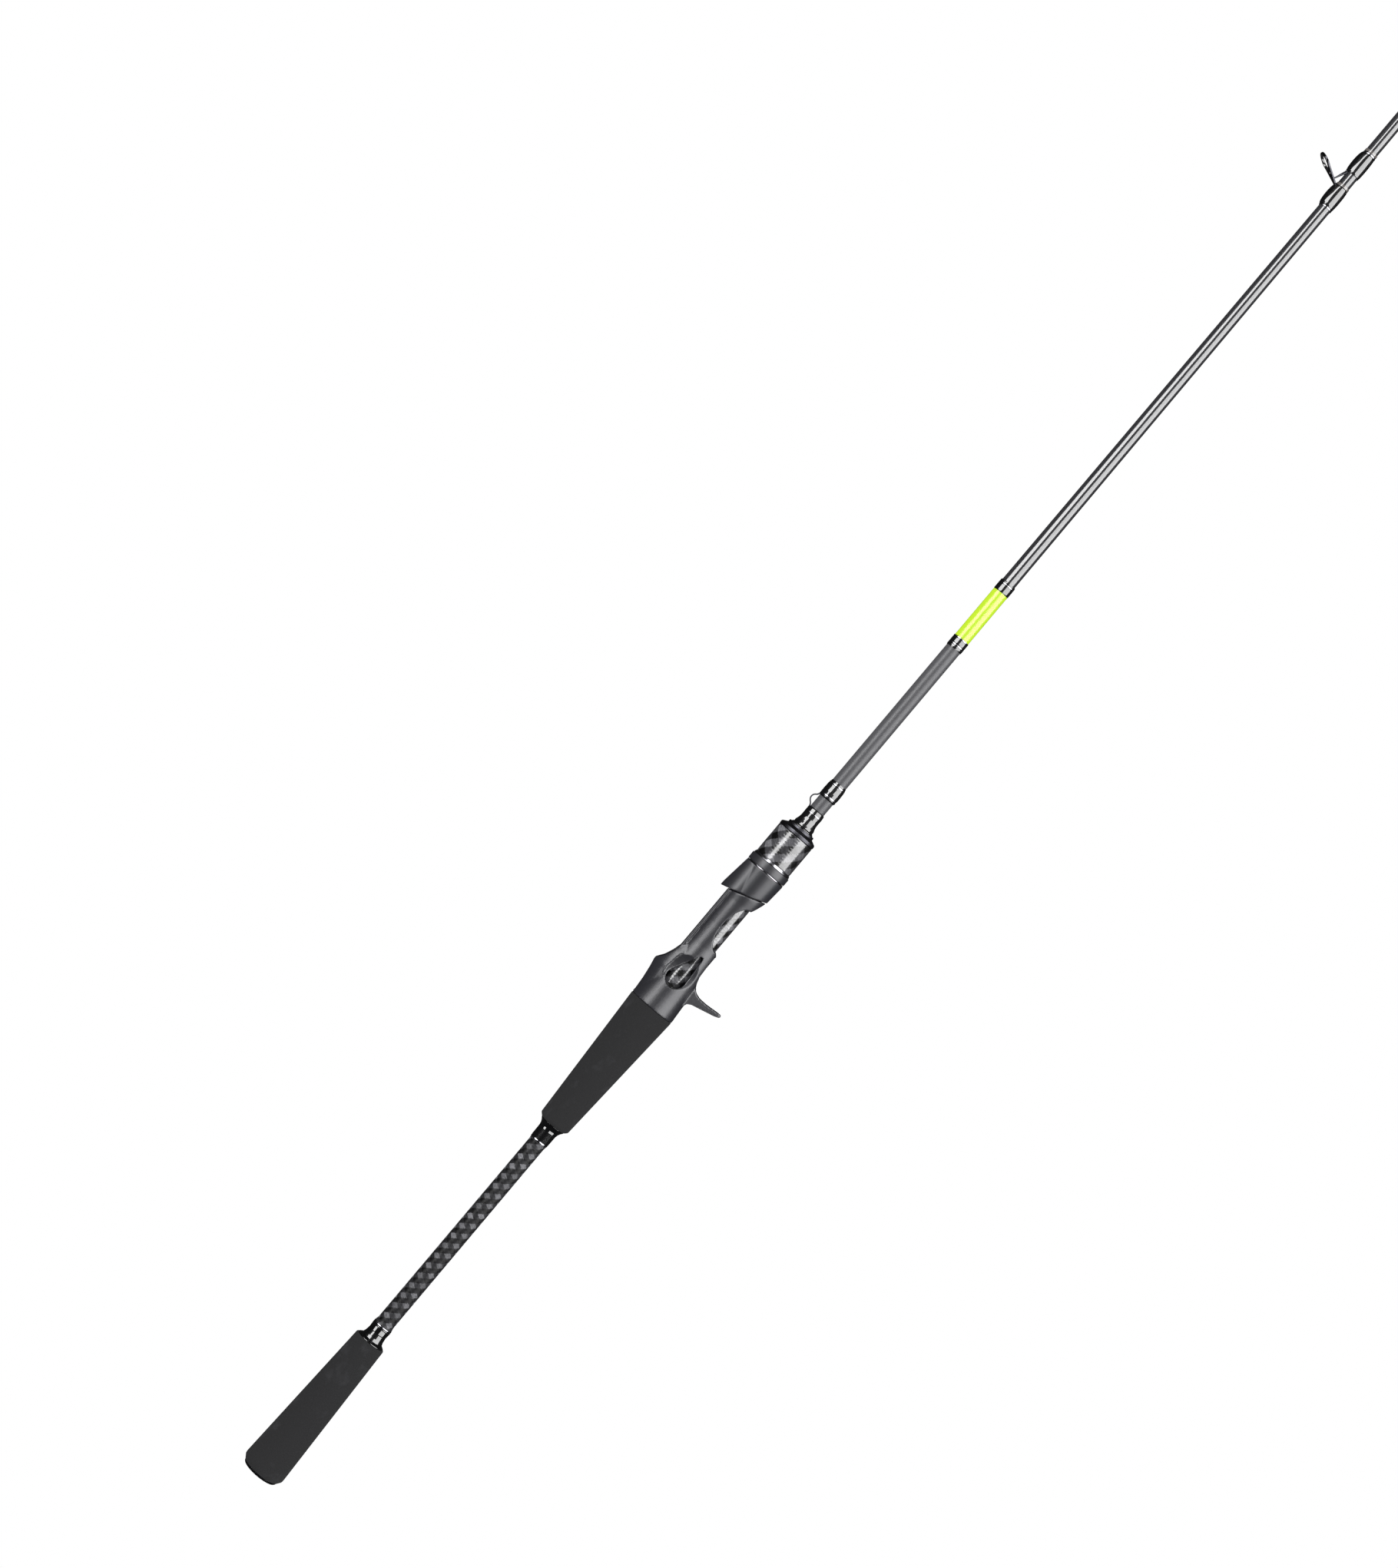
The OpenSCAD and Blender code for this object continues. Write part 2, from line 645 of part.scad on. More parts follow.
module nut_collar() {
    color([0.3, 0.3, 0.31])
        difference() {
            turned([[nut_z, hood_front_r - 0.1], [nut_z + 0.4, hood_front_r],
                    [nut_z + nut_collar_length - 0.3, hood_front_r],
                    [nut_z + nut_collar_length, hood_front_r - 0.3]]);
            translate([0, 0, nut_z - 1])
                cylinder(h = 20, r = nut_core_r + glue);
            translate([0, 0, nut_z - 1])
                cylinder(h = 1 + neck_length - 0.5, r = neck_r + running_gap);
            ring(hood_front + 1.05, 0.8, neck_r + 0.5, neck_r - 1);
        }
}

module nut_step_ring() {
    z = nut_z + nut_collar_length;
    color("silver")
        difference() {
            turned([[z, hood_front_r - 0.55], [z + 0.3, hood_front_r - 0.45],
                    [z + nut_step_length, nut_sleeve_r + 0.1]]);
            translate([0, 0, z - 1])
                cylinder(h = 10, r = nut_core_r + glue);
        }
}

module nut_sleeve() {
    z = nut_z + nut_collar_length + nut_step_length;
    color([0.14, 0.14, 0.15])
        ring(z, nut_end - nut_front_length - z, nut_sleeve_r, nut_core_r + glue);
}

module nut_front_ring() {
    z = nut_end - nut_front_length;
    color([0.24, 0.24, 0.25])
        difference() {
            turned([[z, nut_sleeve_r + 0.15], [z + 1.9, nut_sleeve_r + 0.15], [z + 2.4, nut_sleeve_r - 0.3],
                    [z + 3.6, nut_lip_r + 0.4], [z + 3.7, nut_lip_r], [nut_end - 0.4, nut_lip_r],
                    [nut_end, nut_lip_r - 0.35]]);
            translate([0, 0, z - 1])
                cylinder(h = 2.7, r = nut_core_r + glue);
            translate([0, 0, z - 1])
                cylinder(h = 10, r = nut_lip_bore);
        }
}

// ---- Windings, hook keeper and band ----

// Centre line of the keeper's wire as [x, z] points
keeper_foot_r = 0.3;
keeper_wire_r = 0.4;
function keeper_foot_x(z) = -blank_r(z) - keeper_foot_r - glue;
function keeper_path() = [
    [keeper_foot_x(winding_end + 1), winding_end + 0.7], [-keeper_h, winding_end + 2.8],
    [-keeper_h, keeper_wrap_z - 2.1], [keeper_foot_x(keeper_wrap_z), keeper_wrap_z - 0.3]
];

// A straight piece of wire between two [x, z] points, with round ends
module wire(a, b, r) {
    d = b - a;
    translate([a[0], 0, a[1]])
        rotate([0, atan2(d[0], d[1]), 0])
            cylinder(h = norm(d), r = r);
    for (p = [a, b])
        translate([p[0], 0, p[1]])
            sphere(r = r);
}

module keeper_feet() {
    path = keeper_path();
    wire([path[0][0], winding_end - 2.6], path[0], keeper_foot_r);
    wire(path[3], [path[3][0], keeper_wrap_z + 3.2], keeper_foot_r);
}

module hook_keeper() {
    path = keeper_path();
    color("gainsboro") {
        keeper_feet();
        wire(path[0], path[1], keeper_wire_r - 0.02);
        wire(path[1], path[2], keeper_wire_r);
        wire(path[2], path[3], keeper_wire_r - 0.02);
    }
}

// A metal trim thread inlaid in a winding
module trim_ring(z, r) {
    ring(z, trim_width, r + 0.05, r - 0.3);
}

function trims() = [
    [winding_end - 3.3, 5.33], [keeper_wrap_z + 1.4, 5.05], [keeper_wrap_end - 2.1, 5.06],
    [band_start - 4.8, 4.84], [band_start - trim_width, 4.84], [band_end + 4.6, 4.7],
    [stripper_z + stripper_wrap[0] - trim_width, 4.01], [stripper_z + stripper_wrap[3], 3.97]
];

module trim_rings() {
    color("silver")
        difference() {
            for (t = trims())
                trim_ring(t[0], t[1]);
            keeper_feet();
        }
}

module trim_cut() {
    for (t = trims())
        ring(t[0], trim_width, t[1] + 2, t[1] - 0.3);
}

module front_wrap() {
    r = core_r;
    color([0.05, 0.05, 0.05])
        difference() {
            on_blank([[core_end, r], [core_end + 2.2, r - 0.1], [core_end + 2.9, r - 0.95],
                      [core_end + 4.3, r - 1], [core_end + 5.6, r - 1.5], [core_end + 7, r - 1.8],
                      [core_end + 8.5, r - 1.9], [winding_end - 2.6, r - 1.85], [winding_end - 0.6, 5.15],
                      [winding_end, 4.75]]);
            keeper_feet();
            trim_cut();
        }
}

module keeper_wrap() {
    color([0.05, 0.05, 0.05])
        difference() {
            on_blank([[keeper_wrap_z, 4.8], [keeper_wrap_z + 0.8, 5.2], [keeper_wrap_z + 4.2, 5.35],
                      [keeper_wrap_end - 2.6, 5.2], [keeper_wrap_end - 0.8, 4.85], [keeper_wrap_end, 4.7]]);
            keeper_feet();
            trim_cut();
        }
}

module band_wrap(z, r) {
    color([0.05, 0.05, 0.05])
        difference() {
            on_blank([[z, r - 0.2], [z + 0.6, r], [z + band_wrap_length - 0.6, r],
                      [z + band_wrap_length, r - 0.2]]);
            trim_cut();
        }
}

module band_wrap_rear() {
    band_wrap(band_start - band_wrap_length, 4.86);
}

module band_wrap_front() {
    band_wrap(band_end, 4.75);
}

module colour_band() {
    color([0.83, 0.98, 0.2])
        on_blank([[band_start, blank_r(band_start) + band_coat], [band_end, blank_r(band_end) + band_coat]]);
}

// ---- Guides ----

// How far below the ring's centre a guide's leg meets its foot, measured along the leaning plate
function leg_length(z, h) = (h - blank_r(z) - foot_t * 0.6) / cos(guide_lean);
function foot_z(z, h) = z - leg_length(z, h) * sin(guide_lean);

// The ceramic ring: a cylinder wall with both mouths flared
module ceramic(z, h, r) {
    t = 1.8;
    translate([-h, 0, z])
        rotate([0, guide_lean, 0])
            rotate_extrude()
                polygon([[r, -t * 0.25], [r + 0.22, -t * 0.42], [r + 0.5, -t / 2], [r + ceramic_t - 0.2, -t / 2],
                         [r + ceramic_t, -t * 0.38], [r + ceramic_t, t * 0.38], [r + ceramic_t - 0.2, t / 2],
                         [r + 0.5, t / 2], [r + 0.22, t * 0.42], [r, t * 0.25]]);
}

// A tapering foot that lies on the blank, from its heel at z towards the butt
module foot(z, length) {
    r = blank_r(z);
    side_slab([[z + 0.8, -r + 0.4], [z + 0.8, -r - foot_t], [z - length * 0.6, -r - foot_t],
               [z - length, -r - 0.25], [z - length, -r + 0.4]], foot_w);
}

// The leaning plate that carries the ring: two legs that close to a neck, with a window between them
module guide_plate(z, h, r, window_share = 0.88) {
    band_r = r + ceramic_t + band_t;
    leg = leg_length(z, h);
    tip = leg * window_share;
    neck = 1.3;
    hole_w = max(0.5, band_r * 0.42);
    translate([-h, 0, z])
        rotate([0, guide_lean, 0])
            linear_extrude(height = 1.1, center = true)
                difference() {
                    belt_shape(band_r, leg, neck);
                    circle(r = r + ceramic_t);
                    polygon([[band_r + 0.35, hole_w], [tip, 0.25], [tip, -0.25],
                             [band_r + 0.35, -hole_w]]);
                }
}

// The eccentric winding that binds a guide's foot
module foot_wrap(z0, z1, lift) {
    zm = (z0 + z1) / 2;
    r = blank_r(z0) + wrap_offset + lift;
    edge = 0.62 * lift;
    translate([-wrap_offset, 0, 0])
        turned([[z0, r - edge], [z0 + 1.2, r - edge * 0.3], [mix(z0, zm, 0.6), r],
                [mix(z1, zm, 0.6), r], [z1 - 1.2, r - edge * 0.3], [z1, r - edge]]);
}

module guide_frame(z, h, r, foot_length) {
    color("slategray")
        difference() {
            union() {
                guide_plate(z, h, r);
                foot(foot_z(z, h), foot_length);
            }
            blank_space();
        }
}

stripper_foot = 12.5;
stripper_front_z = stripper_z + 2.9;
stripper_front_foot = 11;

// The strut that props the stripper guide from the tip side, and its foot
module stripper_strut() {
    r = blank_r(stripper_front_z);
    reach = leg_length(stripper_z, stripper_h) * 0.78;
    x = reach * cos(guide_lean) - stripper_h;
    z = stripper_z - reach * sin(guide_lean);
    toe = stripper_front_z + stripper_front_foot;
    side_slab([[z - 0.4, x - 0.4], [z + 0.5, x - 0.4], [stripper_front_z + 0.7, -r - foot_t],
               [stripper_front_z + stripper_front_foot * 0.6, -r - foot_t], [toe, -r - 0.25], [toe, -r + 0.4],
               [stripper_front_z - 0.6, -r + 0.4]], foot_w + 0.4);
}

module stripper_frame() {
    color("slategray")
        difference() {
            union() {
                guide_plate(stripper_z, stripper_h, stripper_ring_r, 0.66);
                foot(foot_z(stripper_z, stripper_h), stripper_foot);
                stripper_strut();
            }
            blank_space();
        }
}

module stripper_ring() {
    color([0.1, 0.1, 0.12])
        ceramic(stripper_z, stripper_h, stripper_ring_r);
}

module stripper_wrap_rear() {
    color([0.05, 0.05, 0.05])
        difference() {
            foot_wrap(stripper_z + stripper_wrap[0], stripper_z + stripper_wrap[1], 0.7);
            blank_space();
            stripper_frame();
            trim_cut();
        }
}

module stripper_wrap_front() {
    color([0.05, 0.05, 0.05])
        difference() {
            foot_wrap(stripper_z + stripper_wrap[2] + 0.9, stripper_z + stripper_wrap[3], 0.65);
            blank_space();
            stripper_frame();
            trim_cut();
        }
}

module single_frame(i) {
    guide_frame(guide_z(i), guide_h(i), guide_ring_r(i), 7 + i * 0.5);
}

module single_ring(i) {
    color([0.1, 0.1, 0.12])
        ceramic(guide_z(i), guide_h(i), guide_ring_r(i));
}

module single_wrap(i) {
    heel = foot_z(guide_z(i), guide_h(i));
    color([0.05, 0.05, 0.05])
        difference() {
            foot_wrap(heel - 9 - i * 0.5, heel - 0.6, 0.6);
            blank_space();
            single_frame(i);
        }
}

tip_tube_length = 9;
tip_tube_r = tip_r + 0.75;
tip_ring_r = 2.2;
tip_h = 5.2;

module tip_top() {
    z = rod_length + 2.6;
    color("slategray")
        difference() {
            union() {
                translate([0, 0, rod_length - tip_tube_length])
                    cylinder(h = tip_tube_length + 0.6, r = tip_tube_r);
                translate([-tip_h, 0, z])
                    rotate([0, guide_lean, 0])
                        linear_extrude(height = 1.1, center = true)
                            difference() {
                                belt_shape(tip_ring_r + ceramic_t + band_t, tip_h / cos(guide_lean), 1.2);
                                circle(r = tip_ring_r + ceramic_t);
                            }
            }
            blank_space();
        }
}

module tip_ring() {
    color([0.1, 0.1, 0.12])
        ceramic(rod_length + 2.6, tip_h, tip_ring_r);
}

// ---- Parts ----

blank();
butt_cap();
butt_grip();
butt_check();
butt_check_ring();
handle_sleeve();
grip_check_ring();
grip_check();
main_grip();
seat_body();
seat_core();
rear_arbor();
front_arbor();
thread_barrel();
sliding_hood();
hood_ring();
retaining_ring();
nut_core();
nut_collar();
nut_step_ring();
nut_sleeve();
nut_front_ring();
front_wrap();
hook_keeper();
keeper_wrap();
band_wrap_rear();
colour_band();
band_wrap_front();
trim_rings();
stripper_frame();
stripper_ring();
stripper_wrap_rear();
stripper_wrap_front();
tip_top();
tip_ring();
for (i = [1:guide_count]) {
    single_frame(i);
    single_ring(i);
    single_wrap(i);
}
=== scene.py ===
# %% [markdown]
# # A casting rod around its CAD frame
# The imported CAD model is the skeleton: every node sits where the engineer put it, in metres, with the butt
# cap's end face on the ground and the rod standing along Z. The guides point to -X and the trigger to +X.
# We load that skeleton first and then give each piece a smoother skin and a real finish.

# %% Load the frame
import json
import math

import bmesh
import bpy
from mathutils import Matrix, Vector


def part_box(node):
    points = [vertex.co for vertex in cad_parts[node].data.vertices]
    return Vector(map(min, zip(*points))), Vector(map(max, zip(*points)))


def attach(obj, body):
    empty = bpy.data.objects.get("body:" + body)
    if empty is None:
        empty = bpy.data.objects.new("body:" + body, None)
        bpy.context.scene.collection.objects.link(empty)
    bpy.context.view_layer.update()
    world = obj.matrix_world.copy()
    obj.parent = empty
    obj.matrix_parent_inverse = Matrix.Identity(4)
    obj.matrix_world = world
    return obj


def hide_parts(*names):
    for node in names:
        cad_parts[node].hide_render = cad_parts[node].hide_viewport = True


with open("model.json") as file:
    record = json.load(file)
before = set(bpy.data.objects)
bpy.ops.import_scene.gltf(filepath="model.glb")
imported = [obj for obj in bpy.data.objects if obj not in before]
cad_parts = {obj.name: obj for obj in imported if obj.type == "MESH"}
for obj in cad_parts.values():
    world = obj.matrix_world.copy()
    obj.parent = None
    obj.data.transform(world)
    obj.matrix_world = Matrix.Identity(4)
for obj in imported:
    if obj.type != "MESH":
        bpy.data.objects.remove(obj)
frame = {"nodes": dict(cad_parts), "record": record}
nodes = frame["nodes"]
mounts = {mount["name"]: mount for mount in frame["record"]["mounts"]}
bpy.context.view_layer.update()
MM = 0.001

# %% [markdown]
# ## Camera
# A rod is far longer than it is wide, so it is shown from the side with a long lens, and the camera is
# rolled so that the rod runs across the frame from the lower left to the upper right. The upper half leaves
# the frame.

# %% Place the camera
CAMERA_PLACE = Vector((-0.0581, -1.73, 0.4375))
ROLL = math.radians(49.874)
LENS_MM = 73.53
SENSOR_MM = 36.0

camera_data = bpy.data.cameras.new("camera")
camera_data.lens = LENS_MM
camera_data.sensor_width = SENSOR_MM
camera = bpy.data.objects.new("camera", camera_data)
right = Vector((math.sin(ROLL), 0, math.cos(ROLL)))
up = Vector((-math.cos(ROLL), 0, math.sin(ROLL)))
back = Vector((0, -1, 0))
camera.matrix_world = Matrix.Translation(CAMERA_PLACE) @ Matrix((right, up, back)).transposed().to_4x4()
bpy.context.scene.collection.objects.link(camera)
bpy.context.scene.camera = camera
print("camera stands", round(-CAMERA_PLACE.y, 2), "m from the rod")

# %% [markdown]
# ## Two helpers for every network of nodes
# Lamps, surround and finishes are all small networks of nodes. One function adds a node and links what goes
# into it. The other turns a colour as a designer writes it, in hex, into the linear numbers that light is
# reckoned in.

# %% Colour and node helpers
def linear(hex_colour):
    channels = [int(hex_colour[i:i + 2], 16) / 255 for i in (1, 3, 5)]
    return (*[c / 12.92 if c <= 0.04045 else ((c + 0.055) / 1.055) ** 2.4 for c in channels], 1.0)


def add(tree, kind, inputs=None, **settings):
    """Adds a node. An input is a number, a colour, another node's output, or a node, for its first output."""
    made = tree.nodes.new(kind)
    for name, value in settings.items():
        setattr(made, name, value)
    for name, value in (inputs or {}).items():
        if isinstance(value, bpy.types.Node):
            value = value.outputs[0]
        if isinstance(value, bpy.types.NodeSocket):
            tree.links.new(value, made.inputs[name])
        else:
            made.inputs[name].default_value = value
    return made


print("pure white is", linear("#ffffff"))

# %% [markdown]
# ## Surround
# Foam and paint need even light, and gloss needs a dark room to mirror, as in a black-flagged product
# studio. A world can be both: white for everything that scatters light, and nearly black for the rays of a
# reflection.

# %% A surround that is white to look at and dark in reflections
BLACK_STUDIO = 0.03

world = bpy.data.worlds.new("white_surround")
world.use_nodes = True
bpy.context.scene.world = world
surround = world.node_tree
surround.nodes.clear()
ray = add(surround, "ShaderNodeLightPath")
power = add(surround, "ShaderNodeMapRange", {"Value": ray.outputs["Is Glossy Ray"], "To Min": 1.0,
                                             "To Max": BLACK_STUDIO})
glow = add(surround, "ShaderNodeBackground", {"Color": (1, 1, 1, 1), "Strength": power})
add(surround, "ShaderNodeOutputWorld", {"Surface": glow})
bpy.context.scene.view_settings.view_transform = "Standard"
print("surround:", world.name)

# %% [markdown]
# ## Soft boxes
# Glossy black pieces have hardly any colour of their own: what the eye sees on them is the shape of the
# lamps. Two tall sheets of diffuser hang on either side of the camera, a narrow bright one on the guide
# side and a wide greyer one on the trigger side, so each round piece carries two clean stripes with dark
# edges. Cloth does not hang straight, so each sheet is wider in some places than in others. The sheets end
# just above the floor, and the straight pieces of the handle mirror the dark gap under them and stay black.
# A lower pair only shows to someone who looks down on the rod. They show in reflections only. Nothing hangs
# behind the rod: it would be mirrored in the last hair's breadth of each edge and turn the outline white.

# %% Hang the soft boxes
BOX_DISTANCE = 2.5
BOX_STEPS = 12


def glowing(name, brightness):
    made = bpy.data.materials.new(name)
    made.use_nodes = True
    made.node_tree.nodes.clear()
    light = add(made.node_tree, "ShaderNodeEmission", {"Strength": brightness})
    add(made.node_tree, "ShaderNodeOutputMaterial", {"Surface": light})
    return made


def soft_box(name, rows, brightness):
    """A curved sheet round the rod. Each row is a height in metres and the sheet's first and last bearing
    there, in degrees from the camera's side."""
    corners = []
    for height, start, end in rows:
        for step in range(BOX_STEPS + 1):
            bearing = math.radians(start + (end - start) * step / BOX_STEPS)
            corners.append((math.sin(bearing) * BOX_DISTANCE, -math.cos(bearing) * BOX_DISTANCE, height))
    faces = []
    for row in range(len(rows) - 1):
        for step in range(BOX_STEPS):
            a = row * (BOX_STEPS + 1) + step
            b = a + BOX_STEPS + 1
            faces.append((a, a + 1, b + 1, b))
    mesh = bpy.data.meshes.new(name)
    mesh.from_pydata(corners, [], faces)
    mesh.materials.append(glowing(name + "_light", brightness))
    box = bpy.data.objects.new(name, mesh)
    bpy.context.scene.collection.objects.link(box)
    box.visible_camera = False
    box.visible_diffuse = False
    box.visible_shadow = False
    print(name, "hangs from", rows[-1][0], "m down to", rows[0][0], "m")


soft_box("narrow_box", [(0.03, -52, -30), (0.25, -46, -28), (0.55, -44, -26), (0.8, -64, -18),
                        (1.2, -60, -20), (1.7, -40, -22), (3.6, -40, -22)], 16.0)
soft_box("wide_box", [(0.03, 32, 80), (0.55, 34, 80), (0.8, 14, 84), (1.7, 16, 78), (3.6, 16, 78)], 12.0)
soft_box("low_narrow_box", [(-1.6, -60, -35), (-0.68, -60, -35)], 16.0)
soft_box("low_wide_box", [(-1.6, 20, 80), (-0.68, 20, 80)], 12.0)

# %% [markdown]
# ## Floor
# The rod stands on its butt cap on a plain pale floor. The floor glows as white as the surround, so that
# there is no horizon and no grey patch, and it is left out of reflections so that it doesn't add a third
# lamp from below.

# %% The floor, just under the butt cap
FLOOR_HALF = 6.0

floor_corners = [(-FLOOR_HALF, -FLOOR_HALF, 0), (FLOOR_HALF, -FLOOR_HALF, 0), (FLOOR_HALF, FLOOR_HALF, 0),
                 (-FLOOR_HALF, FLOOR_HALF, 0)]
floor_mesh = bpy.data.meshes.new("floor")
floor_mesh.from_pydata(floor_corners, [], [(0, 1, 2, 3)])
floor_mesh.materials.append(glowing("white_floor", 1.0))
floor = bpy.data.objects.new("floor", floor_mesh)
floor.location.z = -0.5 * MM
bpy.context.scene.collection.objects.link(floor)
floor.visible_glossy = False
print("floor at", floor.location.z)

# %% [markdown]
# ## How a finish is built
# Every finish is one Principled shader. Its plain settings stand on its own sockets, and only what varies
# over the surface is linked. Patterns are measured in the piece's own metres, so they ride with the piece.

# %% Start and end a finish
MATH = "ShaderNodeMath"
NOISE = "ShaderNodeTexNoise"
MIX = "ShaderNodeMixRGB"


def new_finish(name):
    made = bpy.data.materials.new(name)
    made.use_nodes = True
    made.node_tree.nodes.clear()
    spot = add(made.node_tree, "ShaderNodeTexCoord").outputs["Object"]
    return made, made.node_tree, spot


def complete(made, preview, **inputs):
    """Adds the shader with its settings, and the flat colour that a solid view shows."""
    sockets = {name.replace("_", " "): value for name, value in inputs.items()}
    shader = add(made.node_tree, "ShaderNodeBsdfPrincipled", sockets)
    add(made.node_tree, "ShaderNodeOutputMaterial", {"Surface": shader})
    made.diffuse_color = linear(preview)
    print("finish:", made.name)


# %% [markdown]
# ## Foam grips
# The two grips are EVA foam: closed cells, turned on a lathe and sanded. Sanding cuts the cells open, so
# the surface scatters light almost evenly and hardly shines. The eye sees a flat charcoal with a fine
# grain, a few paler scuffs where hands and tools have rubbed it, and no clear highlight at all.

# %% Sanded EVA foam
CELL_MM = 0.45
SCUFF_MM = 14.0

sanded_eva, tree, spot = new_finish("sanded_eva_foam")
cells = add(tree, NOISE, {"Vector": spot, "Scale": 1 / (CELL_MM * MM), "Detail": 3.0})
scuffs = add(tree, NOISE, {"Vector": spot, "Scale": 1 / (SCUFF_MM * MM), "Detail": 5.0, "Roughness": 0.62})
rubbed = add(tree, "ShaderNodeMapRange", {"Value": scuffs, "From Min": 0.56, "From Max": 0.74,
                                          "To Max": 0.5})
grain = add(tree, MIX, {"Fac": cells, "Color1": linear("#272728"), "Color2": linear("#343435")})
worn = add(tree, MIX, {"Fac": rubbed, "Color1": grain, "Color2": linear("#454548")})
pitted = add(tree, "ShaderNodeBump", {"Height": cells, "Distance": 0.12 * MM})
complete(sanded_eva, "#2e2e2f", Base_Color=worn, Roughness=0.93, Specular_IOR_Level=0.06, Normal=pitted)

# %% [markdown]
# ## Glossy black trim
# The butt cap and the winding checks are turned aluminium or plastic under black lacquer. Lacquer flows out
# while it dries, so it is as smooth as glass: the coat does all the mirroring, and the black under it does
# almost none.

# %% Black lacquer
black_lacquer, tree, spot = new_finish("black_lacquered_trim")
haze = add(tree, NOISE, {"Vector": spot, "Scale": 1 / (3.0 * MM), "Detail": 2.0})
tone = add(tree, MIX, {"Fac": haze, "Color1": linear("#040405"), "Color2": linear("#0d0d0f")})
complete(black_lacquer, "#0a0a0b", Base_Color=tone, Roughness=0.3, Specular_IOR_Level=0.1, Coat_Weight=1.0,
         Coat_Roughness=0.03, Coat_IOR=1.5)

# %% [markdown]
# ## Windings
# The windings are black thread laid side by side and flooded with epoxy, turned slowly while it cures, so
# only a faint trace of the thread is left under a smooth coat: a faint bump, with painted shade that darkens
# the grooves between turns. Real thread is 0.15 mm thick; here it is drawn at 0.35 mm so that it can be seen
# at all. Some makers lay a few turns of a second colour beside each winding: the same thread in a warm grey,
# in the same epoxy.

# %% Thread under epoxy
THREAD_MM = 0.35


def thread_under_epoxy(name, groove_shade, light):
    made, tree, spot = new_finish(name)
    axes = add(tree, "ShaderNodeSeparateXYZ", {"Vector": spot})
    turns = add(tree, MATH, {0: axes.outputs["Z"], 1: 2 * math.pi / (THREAD_MM * MM)}, operation="MULTIPLY")
    ridge = add(tree, MATH, {0: turns}, operation="SINE")
    share = add(tree, MATH, {0: ridge, 1: 0.5, 2: 0.5}, operation="MULTIPLY_ADD")
    # Painted shade: the colour darkens in the grooves between turns and lightens on the crests, following the
    # bump.
    tone = add(tree, MIX, {"Fac": share, "Color1": linear(groove_shade), "Color2": linear(light)})
    ridged = add(tree, "ShaderNodeBump", {"Height": ridge, "Distance": 0.02 * MM})
    complete(made, light, Base_Color=tone, Roughness=0.4, Specular_IOR_Level=0.1, Coat_Weight=1.0,
             Coat_Roughness=0.02, Coat_IOR=1.52, Normal=ridged)
    return made


thread_epoxy = thread_under_epoxy("black_thread_under_epoxy", "#050506", "#101013")
grey_thread = thread_under_epoxy("warm_grey_thread_under_epoxy", "#5a5553", "#7b7572")

# %% [markdown]
# ## Metal
# The thin trim rings and the nut's step ring are polished aluminium, and the ring at the nut's front end is
# anodised, which is darker and softer. The guide frames are stamped from stainless steel with a dark smoke
# finish, and the hook keeper is spring wire plated with black nickel, so both mirror the lamps but read as
# dark. A metal has no colour but its reflection, so all the work is in the tint and the roughness, and in
# how the polish varies along the streaks that a lathe leaves.

# %% Aluminium, smoked steel and plated wire
def metal(name, tint, roughness, streak_mm):
    made, tree, spot = new_finish(name)
    squeezed = add(tree, "ShaderNodeMapping", {"Vector": spot, "Scale": (1, 1, 6)})
    streaks = add(tree, NOISE, {"Vector": squeezed, "Scale": 1 / (streak_mm * MM), "Detail": 3.0})
    polish = add(tree, "ShaderNodeMapRange", {"Value": streaks, "To Min": roughness * 0.7,
                                              "To Max": roughness * 1.3})
    complete(made, tint, Base_Color=linear(tint), Metallic=1.0, Roughness=polish)
    return made


polished_aluminium = metal("polished_aluminium", "#78787c", 0.2, 2.0)
anodised_aluminium = metal("black_anodised_aluminium", "#303033", 0.36, 2.0)
smoked_steel = metal("smoked_stainless_steel", "#2f2f32", 0.2, 1.5)
plated_wire = metal("black_nickel_plated_wire", "#2b2b2e", 0.3, 0.8)

# %% [markdown]
# ## Satin seat plastic
# The reel seat, its hood and the nut's collar are moulded from glass-filled nylon and sprayed with a satin
# gunmetal paint. Paint over a moulded skin gives a soft broad glow instead of a sharp stripe, and the
# flakes in it make a fine speckle.

# %% Satin gunmetal paint
FLAKE_MM = 0.4
CLOUD_MM = 9.0

satin_paint, tree, spot = new_finish("satin_gunmetal_paint")
flakes = add(tree, NOISE, {"Vector": spot, "Scale": 1 / (FLAKE_MM * MM), "Detail": 2.0})
clouds = add(tree, NOISE, {"Vector": spot, "Scale": 1 / (CLOUD_MM * MM), "Detail": 2.0})
fleck = add(tree, MIX, {"Fac": flakes, "Color1": linear("#2c2c31"), "Color2": linear("#303035")})
tone = add(tree, MIX, {"Fac": clouds, "Color1": fleck, "Color2": linear("#2b2b30")})
uneven = add(tree, "ShaderNodeMapRange", {"Value": flakes, "To Min": 0.32, "To Max": 0.38})
grainy = add(tree, "ShaderNodeBump", {"Height": flakes, "Distance": 0.001 * MM})
complete(satin_paint, "#333338", Base_Color=tone, Roughness=uneven, Specular_IOR_Level=0.3, Normal=grainy)

# %% [markdown]
# ## Flat blank
# The blank is carbon cloth rolled on a steel mandrel. From the seat to the colour band it is sanded smooth
# and sprayed a flat slate grey, which scatters the lamps into one faint sheen.

# %% Flat slate paint
flat_slate, tree, spot = new_finish("flat_slate_paint")
mist = add(tree, NOISE, {"Vector": spot, "Scale": 1 / (0.8 * MM), "Detail": 3.0})
tone = add(tree, MIX, {"Fac": mist, "Color1": linear("#565659"), "Color2": linear("#5a5a5d")})
complete(flat_slate, "#68686b", Base_Color=tone, Roughness=0.36, Specular_IOR_Level=0.16)

